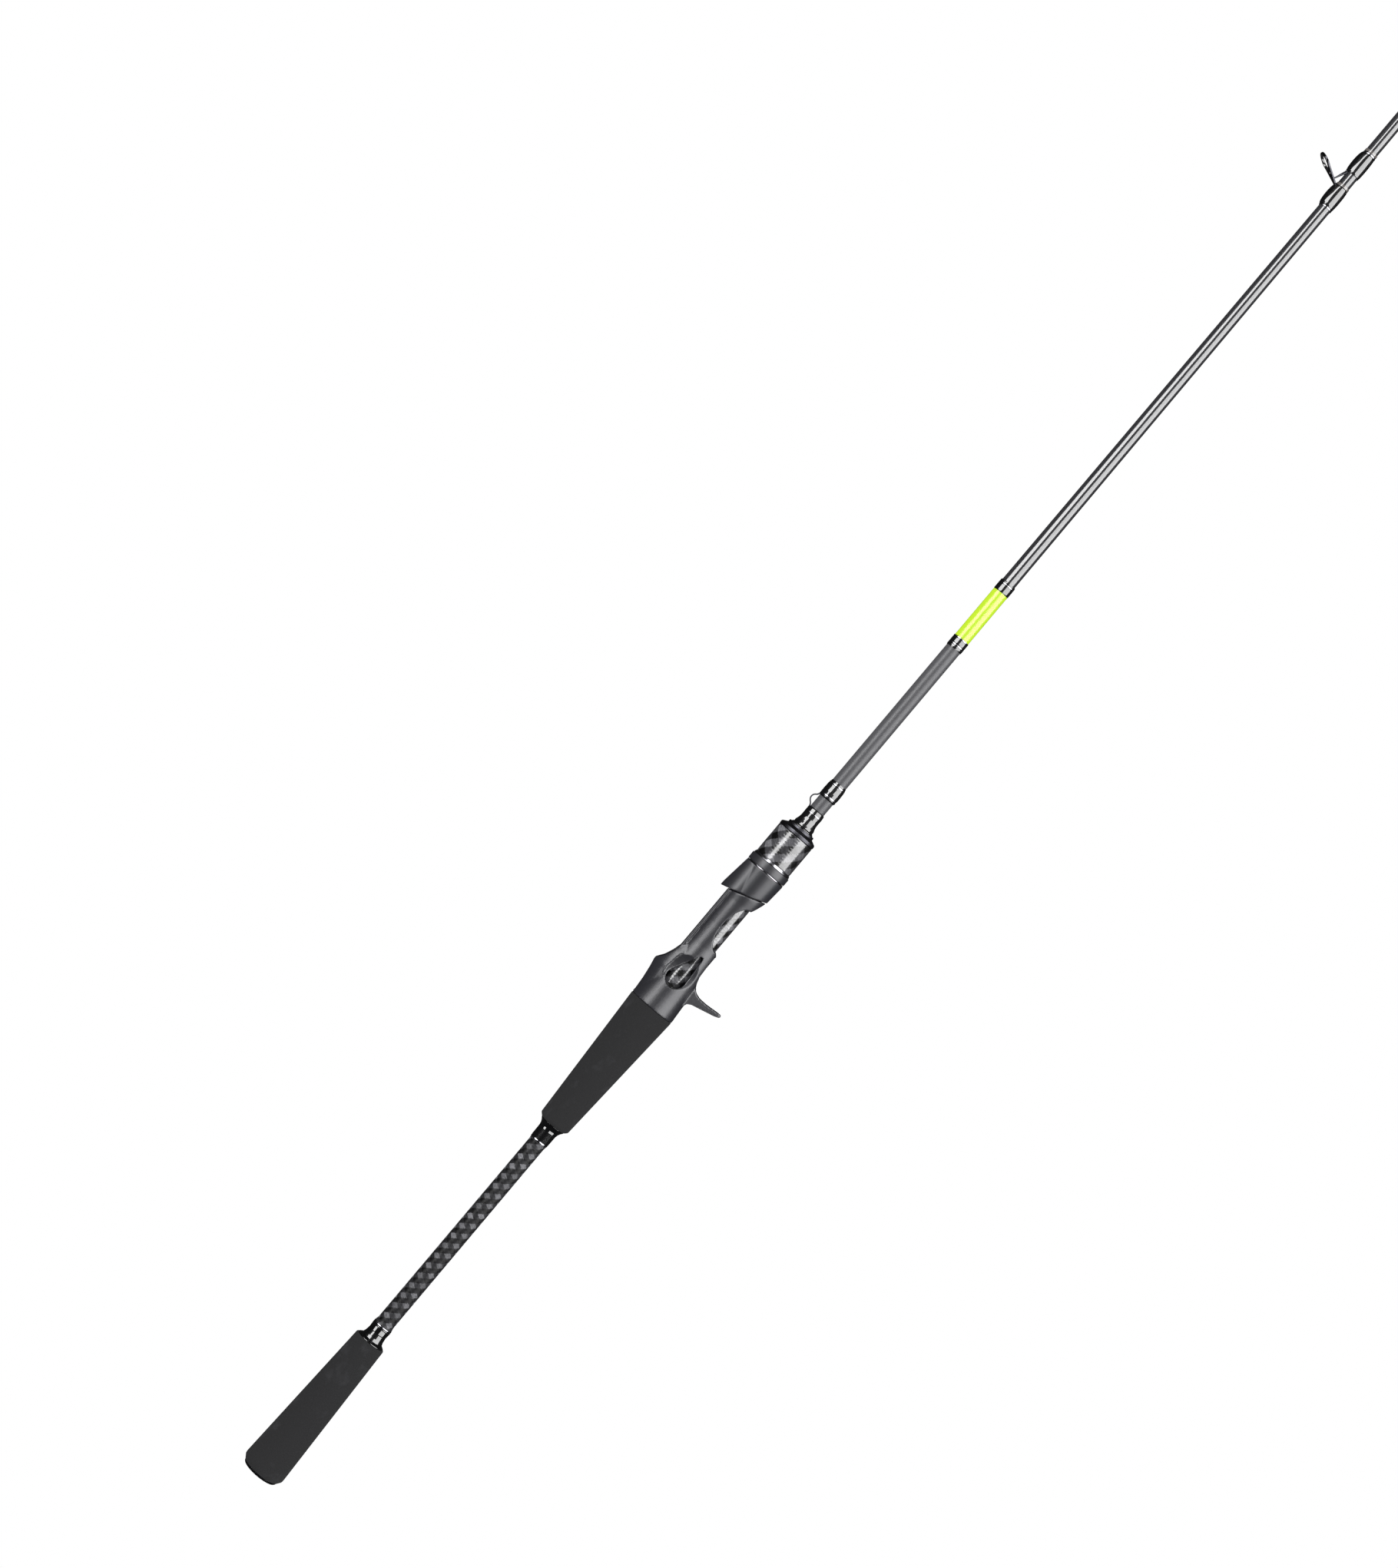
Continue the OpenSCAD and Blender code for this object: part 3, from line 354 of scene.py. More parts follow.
# %% [markdown]
# ## Clear-coated blank
# Beyond the band the blank keeps the fine ridges that the shrink tape left when it was baked, and a thick
# clear coat over them makes it nearly black with hard bright stripes. Between the stripes the ridges show
# as small rungs. One network makes both: a slow wave along the tube for the tape, times a fast one round it
# for the cloth.

# %% Clear-coated carbon
TAPE_MM = 2.1
CLOTH_RIBS = 18.0

clear_carbon, tree, spot = new_finish("clear_coated_carbon")
axes = add(tree, "ShaderNodeSeparateXYZ", {"Vector": spot})
bearing = add(tree, MATH, {0: axes.outputs["Y"], 1: axes.outputs["X"]}, operation="ARCTAN2")
along = add(tree, MATH, {0: axes.outputs["Z"], 1: 2 * math.pi / (TAPE_MM * MM)}, operation="MULTIPLY")
spiral = add(tree, MATH, {0: along, 1: bearing}, operation="ADD")
tape = add(tree, MATH, {0: spiral}, operation="SINE")
slant = add(tree, MATH, {0: bearing, 1: CLOTH_RIBS, 2: along}, operation="MULTIPLY_ADD")
weave = add(tree, MATH, {0: slant}, operation="SINE")
crossed = add(tree, MATH, {0: tape, 1: weave}, operation="MULTIPLY")
cloth = add(tree, MATH, {0: crossed, 1: 0.5, 2: 0.5}, operation="MULTIPLY_ADD")
tone = add(tree, MIX, {"Fac": cloth, "Color1": linear("#141416"), "Color2": linear("#48484c")})
ridged = add(tree, "ShaderNodeBump", {"Height": tape, "Distance": 0.004 * MM})
complete(clear_carbon, "#1b1b1d", Base_Color=tone, Roughness=0.35, Specular_IOR_Level=0.1, Coat_Weight=1.0,
         Coat_Roughness=0.03, Coat_IOR=1.5, Normal=ridged)

# %% [markdown]
# ## Braided carbon
# The handle's sleeve, the seat's core and the nut's sleeve are covered with a tubular braid: flat carbon
# ribbons that run round the tube both ways and cross at a slant. Where a ribbon lies at one slant it
# catches the light and shows its fibres, at the other it turns black, so the eye sees rows of leaf-shaped
# patches with frayed edges. To draw it, each point is given two ribbon numbers, one for each way round. The
# pair says which patch it is in. On the seat and the nut, lacquer lies over it, rippled by the ribbons,
# which frays the edges of the lamps' stripes too. The handle's sleeve has only a thin dull coat, so that it
# isn't slippery.

# %% Number the ribbons of a braid
FRAY_MM = 0.8
WANDER = 0.55


def ribbons_of(tree, spot, pitch_mm, ribbons):
    """Returns the frayed position among the rising and the falling ribbons, the fray and the height."""
    fray = add(tree, NOISE, {"Vector": spot, "Scale": 1 / (FRAY_MM * MM), "Detail": 4.0, "Roughness": 0.7})
    axes = add(tree, "ShaderNodeSeparateXYZ", {"Vector": spot})
    bearing = add(tree, MATH, {0: axes.outputs["Y"], 1: axes.outputs["X"]}, operation="ARCTAN2")
    round_tube = add(tree, MATH, {0: bearing, 1: ribbons / (2 * math.pi)}, operation="MULTIPLY")
    along = add(tree, MATH, {0: axes.outputs["Z"], 1: 1 / (pitch_mm * MM)}, operation="MULTIPLY")
    wander = add(tree, MATH, {0: fray, 1: 0.5}, operation="SUBTRACT")
    frayed = add(tree, MATH, {0: wander, 1: WANDER, 2: along}, operation="MULTIPLY_ADD")
    rising = add(tree, MATH, {0: frayed, 1: round_tube}, operation="ADD")
    falling = add(tree, MATH, {0: frayed, 1: round_tube}, operation="SUBTRACT")
    return rising, falling, fray, axes.outputs["Z"]


print("ribbon edges wander over", FRAY_MM, "mm")

# %% [markdown]
# ## From ribbon numbers to carbon
# Whether each ribbon number is odd or even gives four kinds of patch: black, two middle greys and a pale
# one. These tones are painted sheen: the light that a ribbon catches at one slant, and the dark of the other,
# are painted into the base colour over the braid's own pattern. A chance number for each patch varies its
# brightness, and streaks along the ribbon stand for its fibres. A carbon fibre is only 0.007 mm thick, so the
# streaks are bundles, drawn coarse enough to show.

# %% Carbon braid
FIBRES_ALONG = 1.3
FIBRES_ACROSS = 9.0
WAVE_SHARE = 0.35


def braid(name, pitch_mm, ribbons, patch_sheen, ripple_mm, ripple_depth_mm, **shine):
    """patch_sheen is the four patches' colours, a painted sheen over the braid's pattern. The number of
    ribbons is even, so that the pattern closes.
    """
    made, tree, spot = new_finish(name)
    rising, falling, fray, height = ribbons_of(tree, spot, pitch_mm, ribbons)
    numbers = [add(tree, MATH, {0: way}, operation="FLOOR") for way in (rising, falling)]
    odd = [add(tree, MATH, {0: number, 1: 2.0}, operation="FLOORED_MODULO") for number in numbers]
    kind = add(tree, MATH, {0: odd[0], 1: 2.0, 2: odd[1]}, operation="MULTIPLY_ADD")
    choice = add(tree, MATH, {0: kind, 1: 3.0}, operation="DIVIDE")
    # Painted sheen: each patch's tone stands for the light or dark that its ribbon's slant gives, painted
    # into the base colour.
    sheen_patches = add(tree, "ShaderNodeValToRGB", {"Fac": choice})
    sheen_patches.color_ramp.interpolation = "CONSTANT"
    sheen_patches.color_ramp.elements[0].color = linear(patch_sheen[0])
    sheen_patches.color_ramp.elements[1].position = 0.9
    sheen_patches.color_ramp.elements[1].color = linear(patch_sheen[3])
    sheen_patches.color_ramp.elements.new(0.2).color = linear(patch_sheen[1])
    sheen_patches.color_ramp.elements.new(0.5).color = linear(patch_sheen[2])
    which = add(tree, "ShaderNodeCombineXYZ", {"X": numbers[0], "Y": numbers[1]})
    chance = add(tree, "ShaderNodeTexWhiteNoise", {"Vector": which})
    across = add(tree, MATH, {0: rising, 1: FIBRES_ACROSS}, operation="MULTIPLY")
    lengthwise = add(tree, MATH, {0: falling, 1: FIBRES_ALONG}, operation="MULTIPLY")
    bundle = add(tree, "ShaderNodeCombineXYZ", {"X": across, "Y": lengthwise})
    fibres = add(tree, NOISE, {"Vector": bundle, "Scale": 1.0, "Detail": 3.0})
    streak = add(tree, "ShaderNodeMapRange", {"Value": fibres, "From Min": 0.3, "From Max": 0.7,
                                              "To Min": 0.45, "To Max": 1.4})
    luck = add(tree, "ShaderNodeMapRange", {"Value": chance.outputs["Value"], "To Min": 0.6, "To Max": 1.2})
    shade = add(tree, MATH, {0: streak, 1: luck}, operation="MULTIPLY")
    colour = add(tree, "ShaderNodeVectorMath", {0: sheen_patches, "Scale": shade}, operation="SCALE")
    waves = add(tree, MATH, {0: height, 1: 2 * math.pi / (ripple_mm * MM)}, operation="MULTIPLY")
    wave = add(tree, MATH, {0: waves}, operation="SINE")
    ripple = add(tree, MATH, {0: wave, 1: WAVE_SHARE, 2: fray}, operation="MULTIPLY_ADD")
    rippled = add(tree, "ShaderNodeBump", {"Height": ripple, "Distance": ripple_depth_mm * MM})
    complete(made, patch_sheen[1], Base_Color=colour, Roughness=0.4, Specular_IOR_Level=0.12, Normal=rippled,
             Coat_Normal=rippled, **shine)
    return made


# Painted sheen: the black, middle and pale patch tones stand for the light each ribbon catches at its slant.
DULL_PATCH_SHEEN = ("#0f0f10", "#363639", "#29292b", "#747478")
GLOSSY_PATCH_SHEEN = ("#0a0a0b", "#58585c", "#3c3c40", "#7c7c80")
handle_braid = braid("dull_coated_carbon_braid", 3.5, 6, DULL_PATCH_SHEEN, 1.6, 0.02,
                     Coat_Weight=0.04, Coat_Roughness=0.3)
seat_braid = braid("lacquered_carbon_braid", 4.5, 8, GLOSSY_PATCH_SHEEN, 1.7, 0.035,
                   Coat_Weight=0.9, Coat_Roughness=0.04, Coat_IOR=1.5)
nut_braid = braid("lacquered_wide_carbon_braid", 5.5, 10, GLOSSY_PATCH_SHEEN, 1.7, 0.035,
                  Coat_Weight=0.9, Coat_Roughness=0.04, Coat_IOR=1.5)

# %% [markdown]
# ## Bright band
# A band of fluorescent yellow-green enamel is sprayed on between two windings. It is a strong, opaque
# colour, and its own satin gloss lays pale stripes over it, softer than those on black.

# %% Fluorescent enamel
lime_enamel, tree, spot = new_finish("lime_enamel")
drift = add(tree, NOISE, {"Vector": spot, "Scale": 1 / (6.0 * MM), "Detail": 2.0})
tone = add(tree, MIX, {"Fac": drift, "Color1": linear("#c8f222"), "Color2": linear("#d4fa36")})
complete(lime_enamel, "#cdf62a", Base_Color=tone, Roughness=0.24, Specular_IOR_Level=0.35)

# %% [markdown]
# ## Ceramic
# The rings that the line runs through are silicon carbide, fired and diamond polished until they are smooth
# and almost black, with a mottle of fine grains.

# %% Silicon carbide
silicon_carbide, tree, spot = new_finish("polished_silicon_carbide")
mottle = add(tree, NOISE, {"Vector": spot, "Scale": 1 / (0.6 * MM), "Detail": 2.0})
tone = add(tree, MIX, {"Fac": mottle, "Color1": linear("#101013"), "Color2": linear("#222226")})
complete(silicon_carbide, "#17171a", Base_Color=tone, Roughness=0.08, IOR=1.9, Specular_IOR_Level=0.3)

# %% [markdown]
# ## Hidden parts
# Inside the seat sit a moulded nylon thread, seen only when the nut is run forward, and foam arbors. Their
# CAD shape is already right, so they keep it and only get a finish.

# %% Bare nylon and arbor foam
bare_nylon, tree, spot = new_finish("bare_black_nylon")
flow = add(tree, NOISE, {"Vector": spot, "Scale": 1 / (1.2 * MM), "Detail": 3.0})
skin = add(tree, "ShaderNodeBump", {"Height": flow, "Distance": 0.02 * MM})
tone = add(tree, MIX, {"Fac": flow, "Color1": linear("#19191b"), "Color2": linear("#232326")})
complete(bare_nylon, "#1d1d1f", Base_Color=tone, Roughness=0.5, Specular_IOR_Level=0.2, Normal=skin)

arbor_foam, tree, spot = new_finish("cut_polyurethane_foam")
pores = add(tree, "ShaderNodeTexVoronoi", {"Vector": spot, "Scale": 1 / (0.7 * MM)})
tone = add(tree, MIX, {"Fac": pores, "Color1": linear("#a39876"), "Color2": linear("#c9bd9b")})
pitted = add(tree, "ShaderNodeBump", {"Height": pores, "Distance": 0.2 * MM})
complete(arbor_foam, "#b9ad8c", Base_Color=tone, Roughness=0.9, Specular_IOR_Level=0.1, Normal=pitted)

HIDDEN = {"thread_barrel": bare_nylon, "nut_core": bare_nylon, "rear_arbor": arbor_foam,
          "front_arbor": arbor_foam, "retaining_ring": plated_wire}
for name, finish in HIDDEN.items():
    nodes[name].data.materials.clear()
    nodes[name].data.materials.append(finish)
print(len(HIDDEN), "hidden parts keep their CAD shape")

# %% [markdown]
# ## Turned pieces
# Most of a rod is round. The CAD nodes have the right profile but crisp corners and flat facets. Instead of
# typing every profile again, we cut each CAD node with a plane through its axis, read the outline off the
# cut, round its corners as a polishing wheel would, and spin it on a finer lathe.

# %% Read the outline of a turned CAD node
CUT_BEARING = math.radians(100)
SHARP_TURN = math.radians(28)


def outlines(node):
    """The closed half outlines of a turned CAD node, as lists of points (radius, height), in metres."""
    side = Vector((math.cos(CUT_BEARING), math.sin(CUT_BEARING), 0))
    work = bmesh.new()
    work.from_mesh(nodes[node].data)
    bmesh.ops.remove_doubles(work, verts=work.verts, dist=0.0005 * MM)
    everything = work.verts[:] + work.edges[:] + work.faces[:]
    across = side.cross(Vector((0, 0, 1)))
    cut = bmesh.ops.bisect_plane(work, geom=everything, dist=1e-8, plane_co=(0, 0, 0), plane_no=across)
    edges = [e for e in cut["geom_cut"] if isinstance(e, bmesh.types.BMEdge)]
    edges = [e for e in edges if min(v.co.dot(side) for v in e.verts) > 0]
    reach = {}
    for edge in edges:
        for near, far in (edge.verts, reversed(edge.verts)):
            reach.setdefault(near, []).append(far)
    found = []
    while reach:
        here = next(iter(reach))
        loop = []
        while here in reach:
            loop.append(Vector((here.co.dot(side), here.co.z)))
            onward = [v for v in reach.pop(here) if v in reach]
            if not onward:
                break
            here = onward[0]
        found.append(loop)
    work.free()
    return [straightened(loop) for loop in found if len(loop) > 2]


def straightened(loop):
    """Drops the points that lie on a straight run."""
    kept = []
    for i, point in enumerate(loop):
        before, after = loop[i - 1] - point, loop[(i + 1) % len(loop)] - point
        if min(before.length, after.length) > 1e-6 and math.pi - before.angle(after) > 0.002:
            kept.append(point)
    return kept


print("the butt grip's outline has", len(outlines("butt_grip")[0]), "points")

# %% [markdown]
# ## Round the corners
# Cutting the corners off an outline, and then the corners that this makes, three times over, gives an even
# rounding. Sharp corners are cut back by a polishing wheel's width. The gentle ones of a curve are cut
# further, so that a curve drawn with few points becomes a smooth one. Short flats are kept beside each long
# straight run, so that the shading of the run stays straight.

# %% Round the corners of an outline
ROUNDING_PASSES = 3
LARGEST_SHARE = 0.27
CUT_SHRINKS_TO = 0.45
SHOULDER_MM = 0.12


def rounded(loop, corner_mm, curve_mm):
    """Cuts corners three times over: sharp ones by corner_mm, and gentle ones by up to curve_mm."""
    tagged = []
    for i, point in enumerate(loop):
        before, after = loop[i - 1] - point, loop[(i + 1) % len(loop)] - point
        sharp = math.pi - before.angle(after) > SHARP_TURN
        tagged.append((point, (corner_mm if sharp else curve_mm) * MM))
    for _ in range(ROUNDING_PASSES):
        made = []
        for i, (point, cut) in enumerate(tagged):
            for other in (tagged[i - 1][0], tagged[(i + 1) % len(tagged)][0]):
                side = other - point
                share = min(LARGEST_SHARE, cut / max(side.length, 1e-9))
                made.append((point + side * share, cut * CUT_SHRINKS_TO))
        tagged = made
    points = []
    for i, (point, _) in enumerate(tagged):
        points.append(point)
        side = tagged[(i + 1) % len(tagged)][0] - point
        if side.length > 5 * SHOULDER_MM * MM:
            step = side.normalized() * SHOULDER_MM * MM
            points += [point + step, point + side - step]
    return points


cap_outline = outlines("butt_cap")[0]
print("the butt cap's", len(cap_outline), "points become", len(rounded(cap_outline, 0.5, 2.0)))

# %% [markdown]
# ## The lathe
# A new piece takes a finish, rides on a body of the frame and says which CAD node it stands for. Spinning
# copies the outline round the axis in small steps and joins the copies with faces, which closes the piece
# by itself.

# %% Spin an outline into a piece
LATHE_STEPS = 96
SLEEVE_STEPS = 128
SLIM_STEPS = 72


def new_piece(name, mesh, finishes, slot, body, *stands_for):
    for finish in finishes:
        mesh.materials.append(finish)
    mesh.shade_smooth()
    made = bpy.data.objects.new(name, mesh)
    bpy.context.scene.collection.objects.link(made)
    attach(made, body)
    if stands_for:
        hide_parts(*stands_for)
    return made


def spun(name, loops, segments):
    """A mesh of one or more closed outlines, each turned once round Z."""
    corners = []
    faces = []
    for loop in loops:
        first = len(corners)
        count = len(loop)
        for segment in range(segments):
            bearing = 2 * math.pi * segment / segments
            corners += [(p.x * math.cos(bearing), p.x * math.sin(bearing), p.y) for p in loop]
        for segment in range(segments):
            here = first + segment * count
            there = first + (segment + 1) % segments * count
            for i in range(count):
                j = (i + 1) % count
                faces.append((here + i, here + j, there + j, there + i))
    mesh = bpy.data.meshes.new(name)
    mesh.from_pydata(corners, [], faces)
    outward(mesh)
    return mesh


def outward(mesh):
    work = bmesh.new()
    work.from_mesh(mesh)
    bmesh.ops.recalc_face_normals(work, faces=work.faces)
    work.to_mesh(mesh)
    work.free()


print("most pieces turn in", LATHE_STEPS, "steps, and those as slim as the blank in", SLIM_STEPS)

# %% [markdown]
# ## What is turned
# Each row names a CAD node with its finish and its body. The corners of foam and lacquered plugs are
# rounded most, and those of thin metal rings least. The nut's sleeve gets more steps, because it is the
# widest glossy piece.

# %% Turn the round pieces
TURNED = [
    # node, finish, slot, body, corner mm, curve mm
    ("butt_cap", black_lacquer, "gloss_black_trim", "rod", 0.5, 2.0),
    ("butt_grip", sanded_eva, "eva_foam", "rod", 0.5, 12.0),
    ("butt_check", black_lacquer, "gloss_black_trim", "rod", 0.25, 2.5),
    ("butt_check_ring", polished_aluminium, "polished_ring", "rod", 0.12, 0.5),
    ("handle_sleeve", handle_braid, "patterned_carbon", "rod", 0.08, 1.0),
    ("grip_check_ring", polished_aluminium, "polished_ring", "rod", 0.12, 0.5),
    ("grip_check", black_lacquer, "gloss_black_trim", "rod", 0.25, 2.5),
    ("main_grip", sanded_eva, "eva_foam", "rod", 0.5, 12.0),
    ("seat_core", seat_braid, "patterned_carbon", "rod", 0.2, 1.0),
    ("hood_ring", polished_aluminium, "polished_ring", "hood", 0.1, 0.5),
    ("nut_collar", satin_paint, "seat_plastic", "nut", 0.35, 1.0),
    ("nut_step_ring", polished_aluminium, "polished_ring", "nut", 0.12, 0.5),
    ("nut_sleeve", nut_braid, "patterned_carbon", "nut", 0.3, 1.0),
    ("nut_front_ring", anodised_aluminium, "polished_ring", "nut", 0.3, 0.8),
    ("front_wrap", thread_epoxy, "epoxied_thread", "rod", 0.35, 12.0),
    ("colour_band", lime_enamel, "band_paint", "rod", 0.1, 1.0),
    ("band_wrap_rear", thread_epoxy, "epoxied_thread", "rod", 0.3, 12.0),
    ("band_wrap_front", thread_epoxy, "epoxied_thread", "rod", 0.3, 12.0),
    ("keeper_wrap", thread_epoxy, "epoxied_thread", "rod", 0.3, 12.0),
    ("trim_rings", polished_aluminium, "polished_ring", "rod", 0.08, 0.2),
]
for node, finish, slot, body, corner_mm, curve_mm in TURNED:
    steps = SLEEVE_STEPS if node == "nut_sleeve" else LATHE_STEPS
    loops = [rounded(loop, corner_mm, curve_mm) for loop in outlines(node)]
    new_piece(node + "_turned", spun(node, loops, steps), [finish], slot, body, node)
print(len(TURNED), "pieces turned")

# %% [markdown]
# ## The blank
# The blank is one tube with two finishes. It is spun from its own outline like the rest, and each face takes
# its finish from its height: flat paint up to the colour band, clear coat after.

# %% Turn the blank and find its radius at any height
blank_outline = max(outlines("blank"), key=len)
outer_side = sorted((p for p in blank_outline if p.x > 0.6 * MM), key=lambda p: p.y)


def blank_radius(z):
    """The blank's outer radius at a height, in metres."""
    below = [p for p in outer_side if p.y <= z + 1e-6]
    above = [p for p in outer_side if p.y >= z - 1e-6]
    low_y = max(p.y for p in below)
    high_y = min(p.y for p in above)
    low = max(p.x for p in below if low_y - p.y < 1e-6)
    high = max(p.x for p in above if p.y - high_y < 1e-6)
    share = (z - low_y) / (high_y - low_y) if high_y > low_y else 0.0
    return low + (high - low) * share


band_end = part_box("colour_band")[1].z
blank_mesh = spun("blank", [rounded(blank_outline, 0.1, 0.3)], SLIM_STEPS)
new_piece("blank_turned", blank_mesh, [flat_slate, clear_carbon], "clear_coated_carbon", "rod", "blank")
for face in blank_mesh.polygons:
    face.material_index = 1 if face.center.z > band_end else 0
print("blank radius at the seat", round(blank_radius(0.5) / MM, 2), "mm, at the tip",
      round(blank_radius(2.28) / MM, 2), "mm")

# %% [markdown]
# ## Moulded and stamped pieces
# The seat, its hood and the guide frames are not round, and a real mould or press leaves no crisp edge on
# them. A skin of small cubes is grown over each CAD node and then ironed, which melts its edges into even
# fillets and lets the trigger flow out of the seat. Cubes of about 0.3 mm are fine enough for the seat and
# its hood, and of 0.2 mm for the guides.

# %% Grow and iron a skin over a CAD node
def softened(node, finish, slot, body, cube_mm, ironing):
    """A new piece in the node's shape with every edge rounded."""
    made = bpy.data.objects.new(node + "_skin", nodes[node].data.copy())
    bpy.context.scene.collection.objects.link(made)
    skin = made.modifiers.new("skin", "REMESH")
    skin.mode = "VOXEL"
    skin.voxel_size = cube_mm * MM
    iron = made.modifiers.new("iron", "SMOOTH")
    iron.factor = 0.5
    iron.iterations = ironing
    shape = bpy.data.meshes.new_from_object(made.evaluated_get(bpy.context.evaluated_depsgraph_get()))
    bpy.data.objects.remove(made)
    shape.materials.clear()
    print(node, "skin has", len(shape.polygons), "faces")
    return new_piece(node + "_smooth", shape, [finish], slot, body, node)


softened("seat_body", satin_paint, "seat_plastic", "rod", 0.3, 14)
softened("sliding_hood", satin_paint, "seat_plastic", "hood", 0.28, 10)

# %% [markdown]
# ## Guides
# Each guide is a stamped frame with a ceramic ring pressed into it. The frames are skinned like the seat.
# The rings are turned: their bores are the mounts that the CAD record lists, so centre, axis and radius
# come from there. A rounded rim lets the line slide over it without a groove.

# %% Frames and ceramic rings
RING_WALL_MM = 0.95
RING_WIDTH_MM = 1.5
GUIDES = [("stripper_ring", "stripper_ring_bore", "stripper_frame"),
          ("tip_ring", "tip_ring_bore", "tip_top")]
GUIDES += [(f"guide_ring_{i}", f"guide_ring_bore_{i}", f"guide_frame_{i}") for i in range(1, 9)]

for ring, bore, holder in GUIDES:
    softened(holder, smoked_steel, "guide_steel", "rod", 0.2, 4)
    inner = mounts[bore]["dims"]["r_mm"] * MM
    outer = inner + RING_WALL_MM * MM
    half = RING_WIDTH_MM * MM / 2
    section = [Vector((inner, -half)), Vector((outer, -half)), Vector((outer, half)), Vector((inner, half))]
    ring_mesh = spun(ring, [rounded(section, 0.5, 0.5)], SLIM_STEPS)
    axis = Vector(mounts[bore]["axis"])
    ring_mesh.transform(axis.to_track_quat("Z", "Y").to_matrix().to_4x4())
    ring_mesh.transform(Matrix.Translation(Vector(mounts[bore]["pos_m"])))
    new_piece(ring + "_polished", ring_mesh, [silicon_carbide], "ring_ceramic", "rod", ring)
print(len(GUIDES), "guides")

# %% [markdown]
# ## Windings over the guide feet
# A foot lies on one side of the blank, so the winding over it is thicker on that side, and the epoxy draws
# it into a smooth spindle that runs out thin at both ends. It is a sleeve whose thickness is worked out at
# every point: from the side it is on and from how near an end it is.

# %% Spindle-shaped windings
RINGS_ALONG = 36
POINTS_ROUND = 72
END_THICKNESS = 0.22
FULLNESS = 0.45
FOOT_FOCUS = 1.6
SUNK_MM = 0.05


def spindle(name, low, high, bottom, top):
    """A closed sleeve on the blank from bottom to top. low and high are the box that it fills sideways."""
    middle = blank_radius((bottom + top) / 2)
    thin = max(high.x - middle, 0.25 * MM)
    thick = -low.x - middle
    corners = []
    for wall in ("outer", "inner"):
        for k in range(RINGS_ALONG + 1):
            share = (1 - math.cos(math.pi * k / RINGS_ALONG)) / 2
            z = bottom + (top - bottom) * share
            swell = END_THICKNESS + (1 - END_THICKNESS) * (4 * share * (1 - share)) ** FULLNESS
            for n in range(POINTS_ROUND):
                bearing = 2 * math.pi * n / POINTS_ROUND
                over_foot = ((1 - math.cos(bearing)) / 2) ** FOOT_FOCUS
                radius = blank_radius(z) - SUNK_MM * MM
                if wall == "outer":
                    radius = blank_radius(z) + (thin + (thick - thin) * over_foot) * swell
                corners.append((radius * math.cos(bearing), radius * math.sin(bearing), z))
    inside = (RINGS_ALONG + 1) * POINTS_ROUND
    faces = []
    for n in range(POINTS_ROUND):
        m = (n + 1) % POINTS_ROUND
        for k in range(RINGS_ALONG):
            a, b = k * POINTS_ROUND, (k + 1) * POINTS_ROUND
            faces.append((a + n, a + m, b + m, b + n))
            faces.append((inside + a + n, inside + b + n, inside + b + m, inside + a + m))
        last = RINGS_ALONG * POINTS_ROUND
        faces.append((n, inside + n, inside + m, m))
        faces.append((last + n, last + m, inside + last + m, inside + last + n))
    mesh = bpy.data.meshes.new(name)
    mesh.from_pydata(corners, [], faces)
    outward(mesh)
    return mesh


BOUND = ["stripper_wrap_rear", "stripper_wrap_front"] + [f"guide_wrap_{i}" for i in range(1, 9)]
for node in BOUND:
    low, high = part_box(node)
    new_piece(node + "_spindle", spindle(node, low, high, low.z, high.z), [thread_epoxy], "epoxied_thread",
              "rod", node)
print(len(BOUND), "windings over feet")

# %% [markdown]
# ## Hook keeper
# The keeper is one piece of spring wire bent into a low loop, with both ends bound down. It is drawn as its
# centre line, with the bends rounded, and then thickened into a tube.

# %% Bend the keeper's wire
WIRE_MM = 0.4
SEATED_MM = 0.35

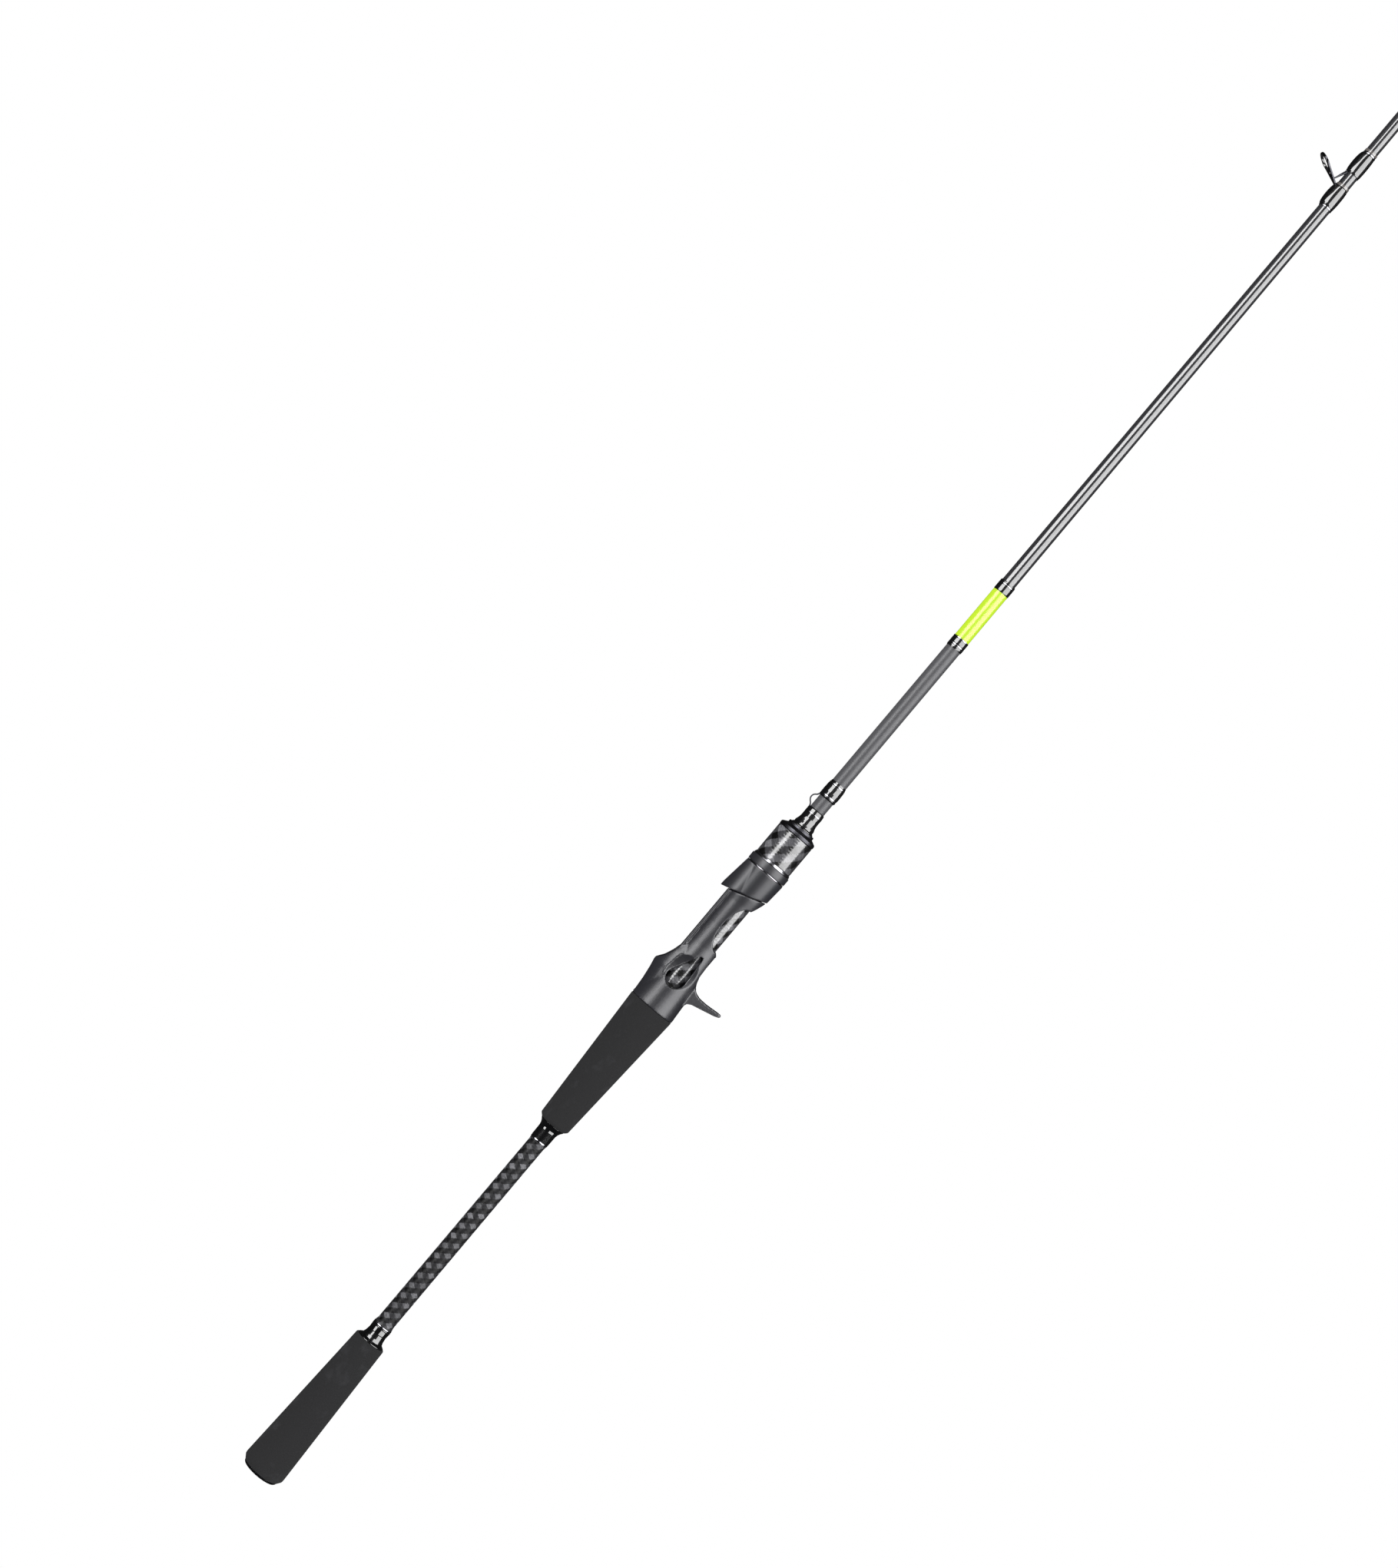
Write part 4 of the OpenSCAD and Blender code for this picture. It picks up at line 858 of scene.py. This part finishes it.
low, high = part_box("hook_keeper")
wrap_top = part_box("front_wrap")[1].z
bound_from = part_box("keeper_wrap")[0].z
peak = low.x + WIRE_MM * MM
seated = -blank_radius(wrap_top) - SEATED_MM * MM
bends = [Vector((seated, 0, low.z + WIRE_MM * MM)), Vector((seated, 0, wrap_top + 0.6 * MM)),
         Vector((peak, 0, wrap_top + 2.9 * MM)), Vector((peak, 0, bound_from - 2.2 * MM)),
         Vector((seated, 0, bound_from - 0.4 * MM)), Vector((seated, 0, high.z - WIRE_MM * MM))]
for _ in range(3):
    softer = [bends[0]]
    for start, end in zip(bends, bends[1:]):
        softer += [start.lerp(end, 0.25), start.lerp(end, 0.75)]
    bends = softer + [bends[-1]]
wire = bpy.data.curves.new("hook_keeper_wire", "CURVE")
wire.dimensions = "3D"
wire.bevel_depth = WIRE_MM * MM
wire.bevel_resolution = 6
wire.use_fill_caps = True
line = wire.splines.new("POLY")
line.points.add(len(bends) - 1)
for point, bend in zip(line.points, bends):
    point.co = (*bend, 1)
template = bpy.data.objects.new("hook_keeper_line", wire)
bpy.context.scene.collection.objects.link(template)
wire_mesh = bpy.data.meshes.new_from_object(template.evaluated_get(bpy.context.evaluated_depsgraph_get()))
bpy.data.objects.remove(template)
wire_mesh.materials.clear()
new_piece("hook_keeper_bent", wire_mesh, [plated_wire], "spring_steel", "rod", "hook_keeper")
print("keeper stands", round(-peak / MM, 1), "mm off the axis")

# %% [markdown]
# ## Accent threads
# Beside each winding of the first guide the builder has laid a few turns of warm grey thread, flat against
# the blank. They are narrow sleeves of their own.

# %% Lay the accent threads
ACCENT_MM = 1.7
ACCENT_THICK_MM = 0.3
TRIM_MM = 1.05

starts = {"rear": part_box("stripper_wrap_rear")[1].z,
          "front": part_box("stripper_wrap_front")[1].z + TRIM_MM * MM}
for which, start in starts.items():
    end = start + ACCENT_MM * MM
    inner = blank_radius(start) - SUNK_MM * MM
    outer = blank_radius(start) + ACCENT_THICK_MM * MM
    section = [Vector((inner, start)), Vector((outer, start)), Vector((outer, end)), Vector((inner, end))]
    accent_mesh = spun("accent_thread_" + which, [rounded(section, 0.15, 0.15)], SLIM_STEPS)
    new_piece("accent_thread_" + which, accent_mesh, [grey_thread], "epoxied_thread", "rod")
print("accent threads", ACCENT_MM, "mm wide")
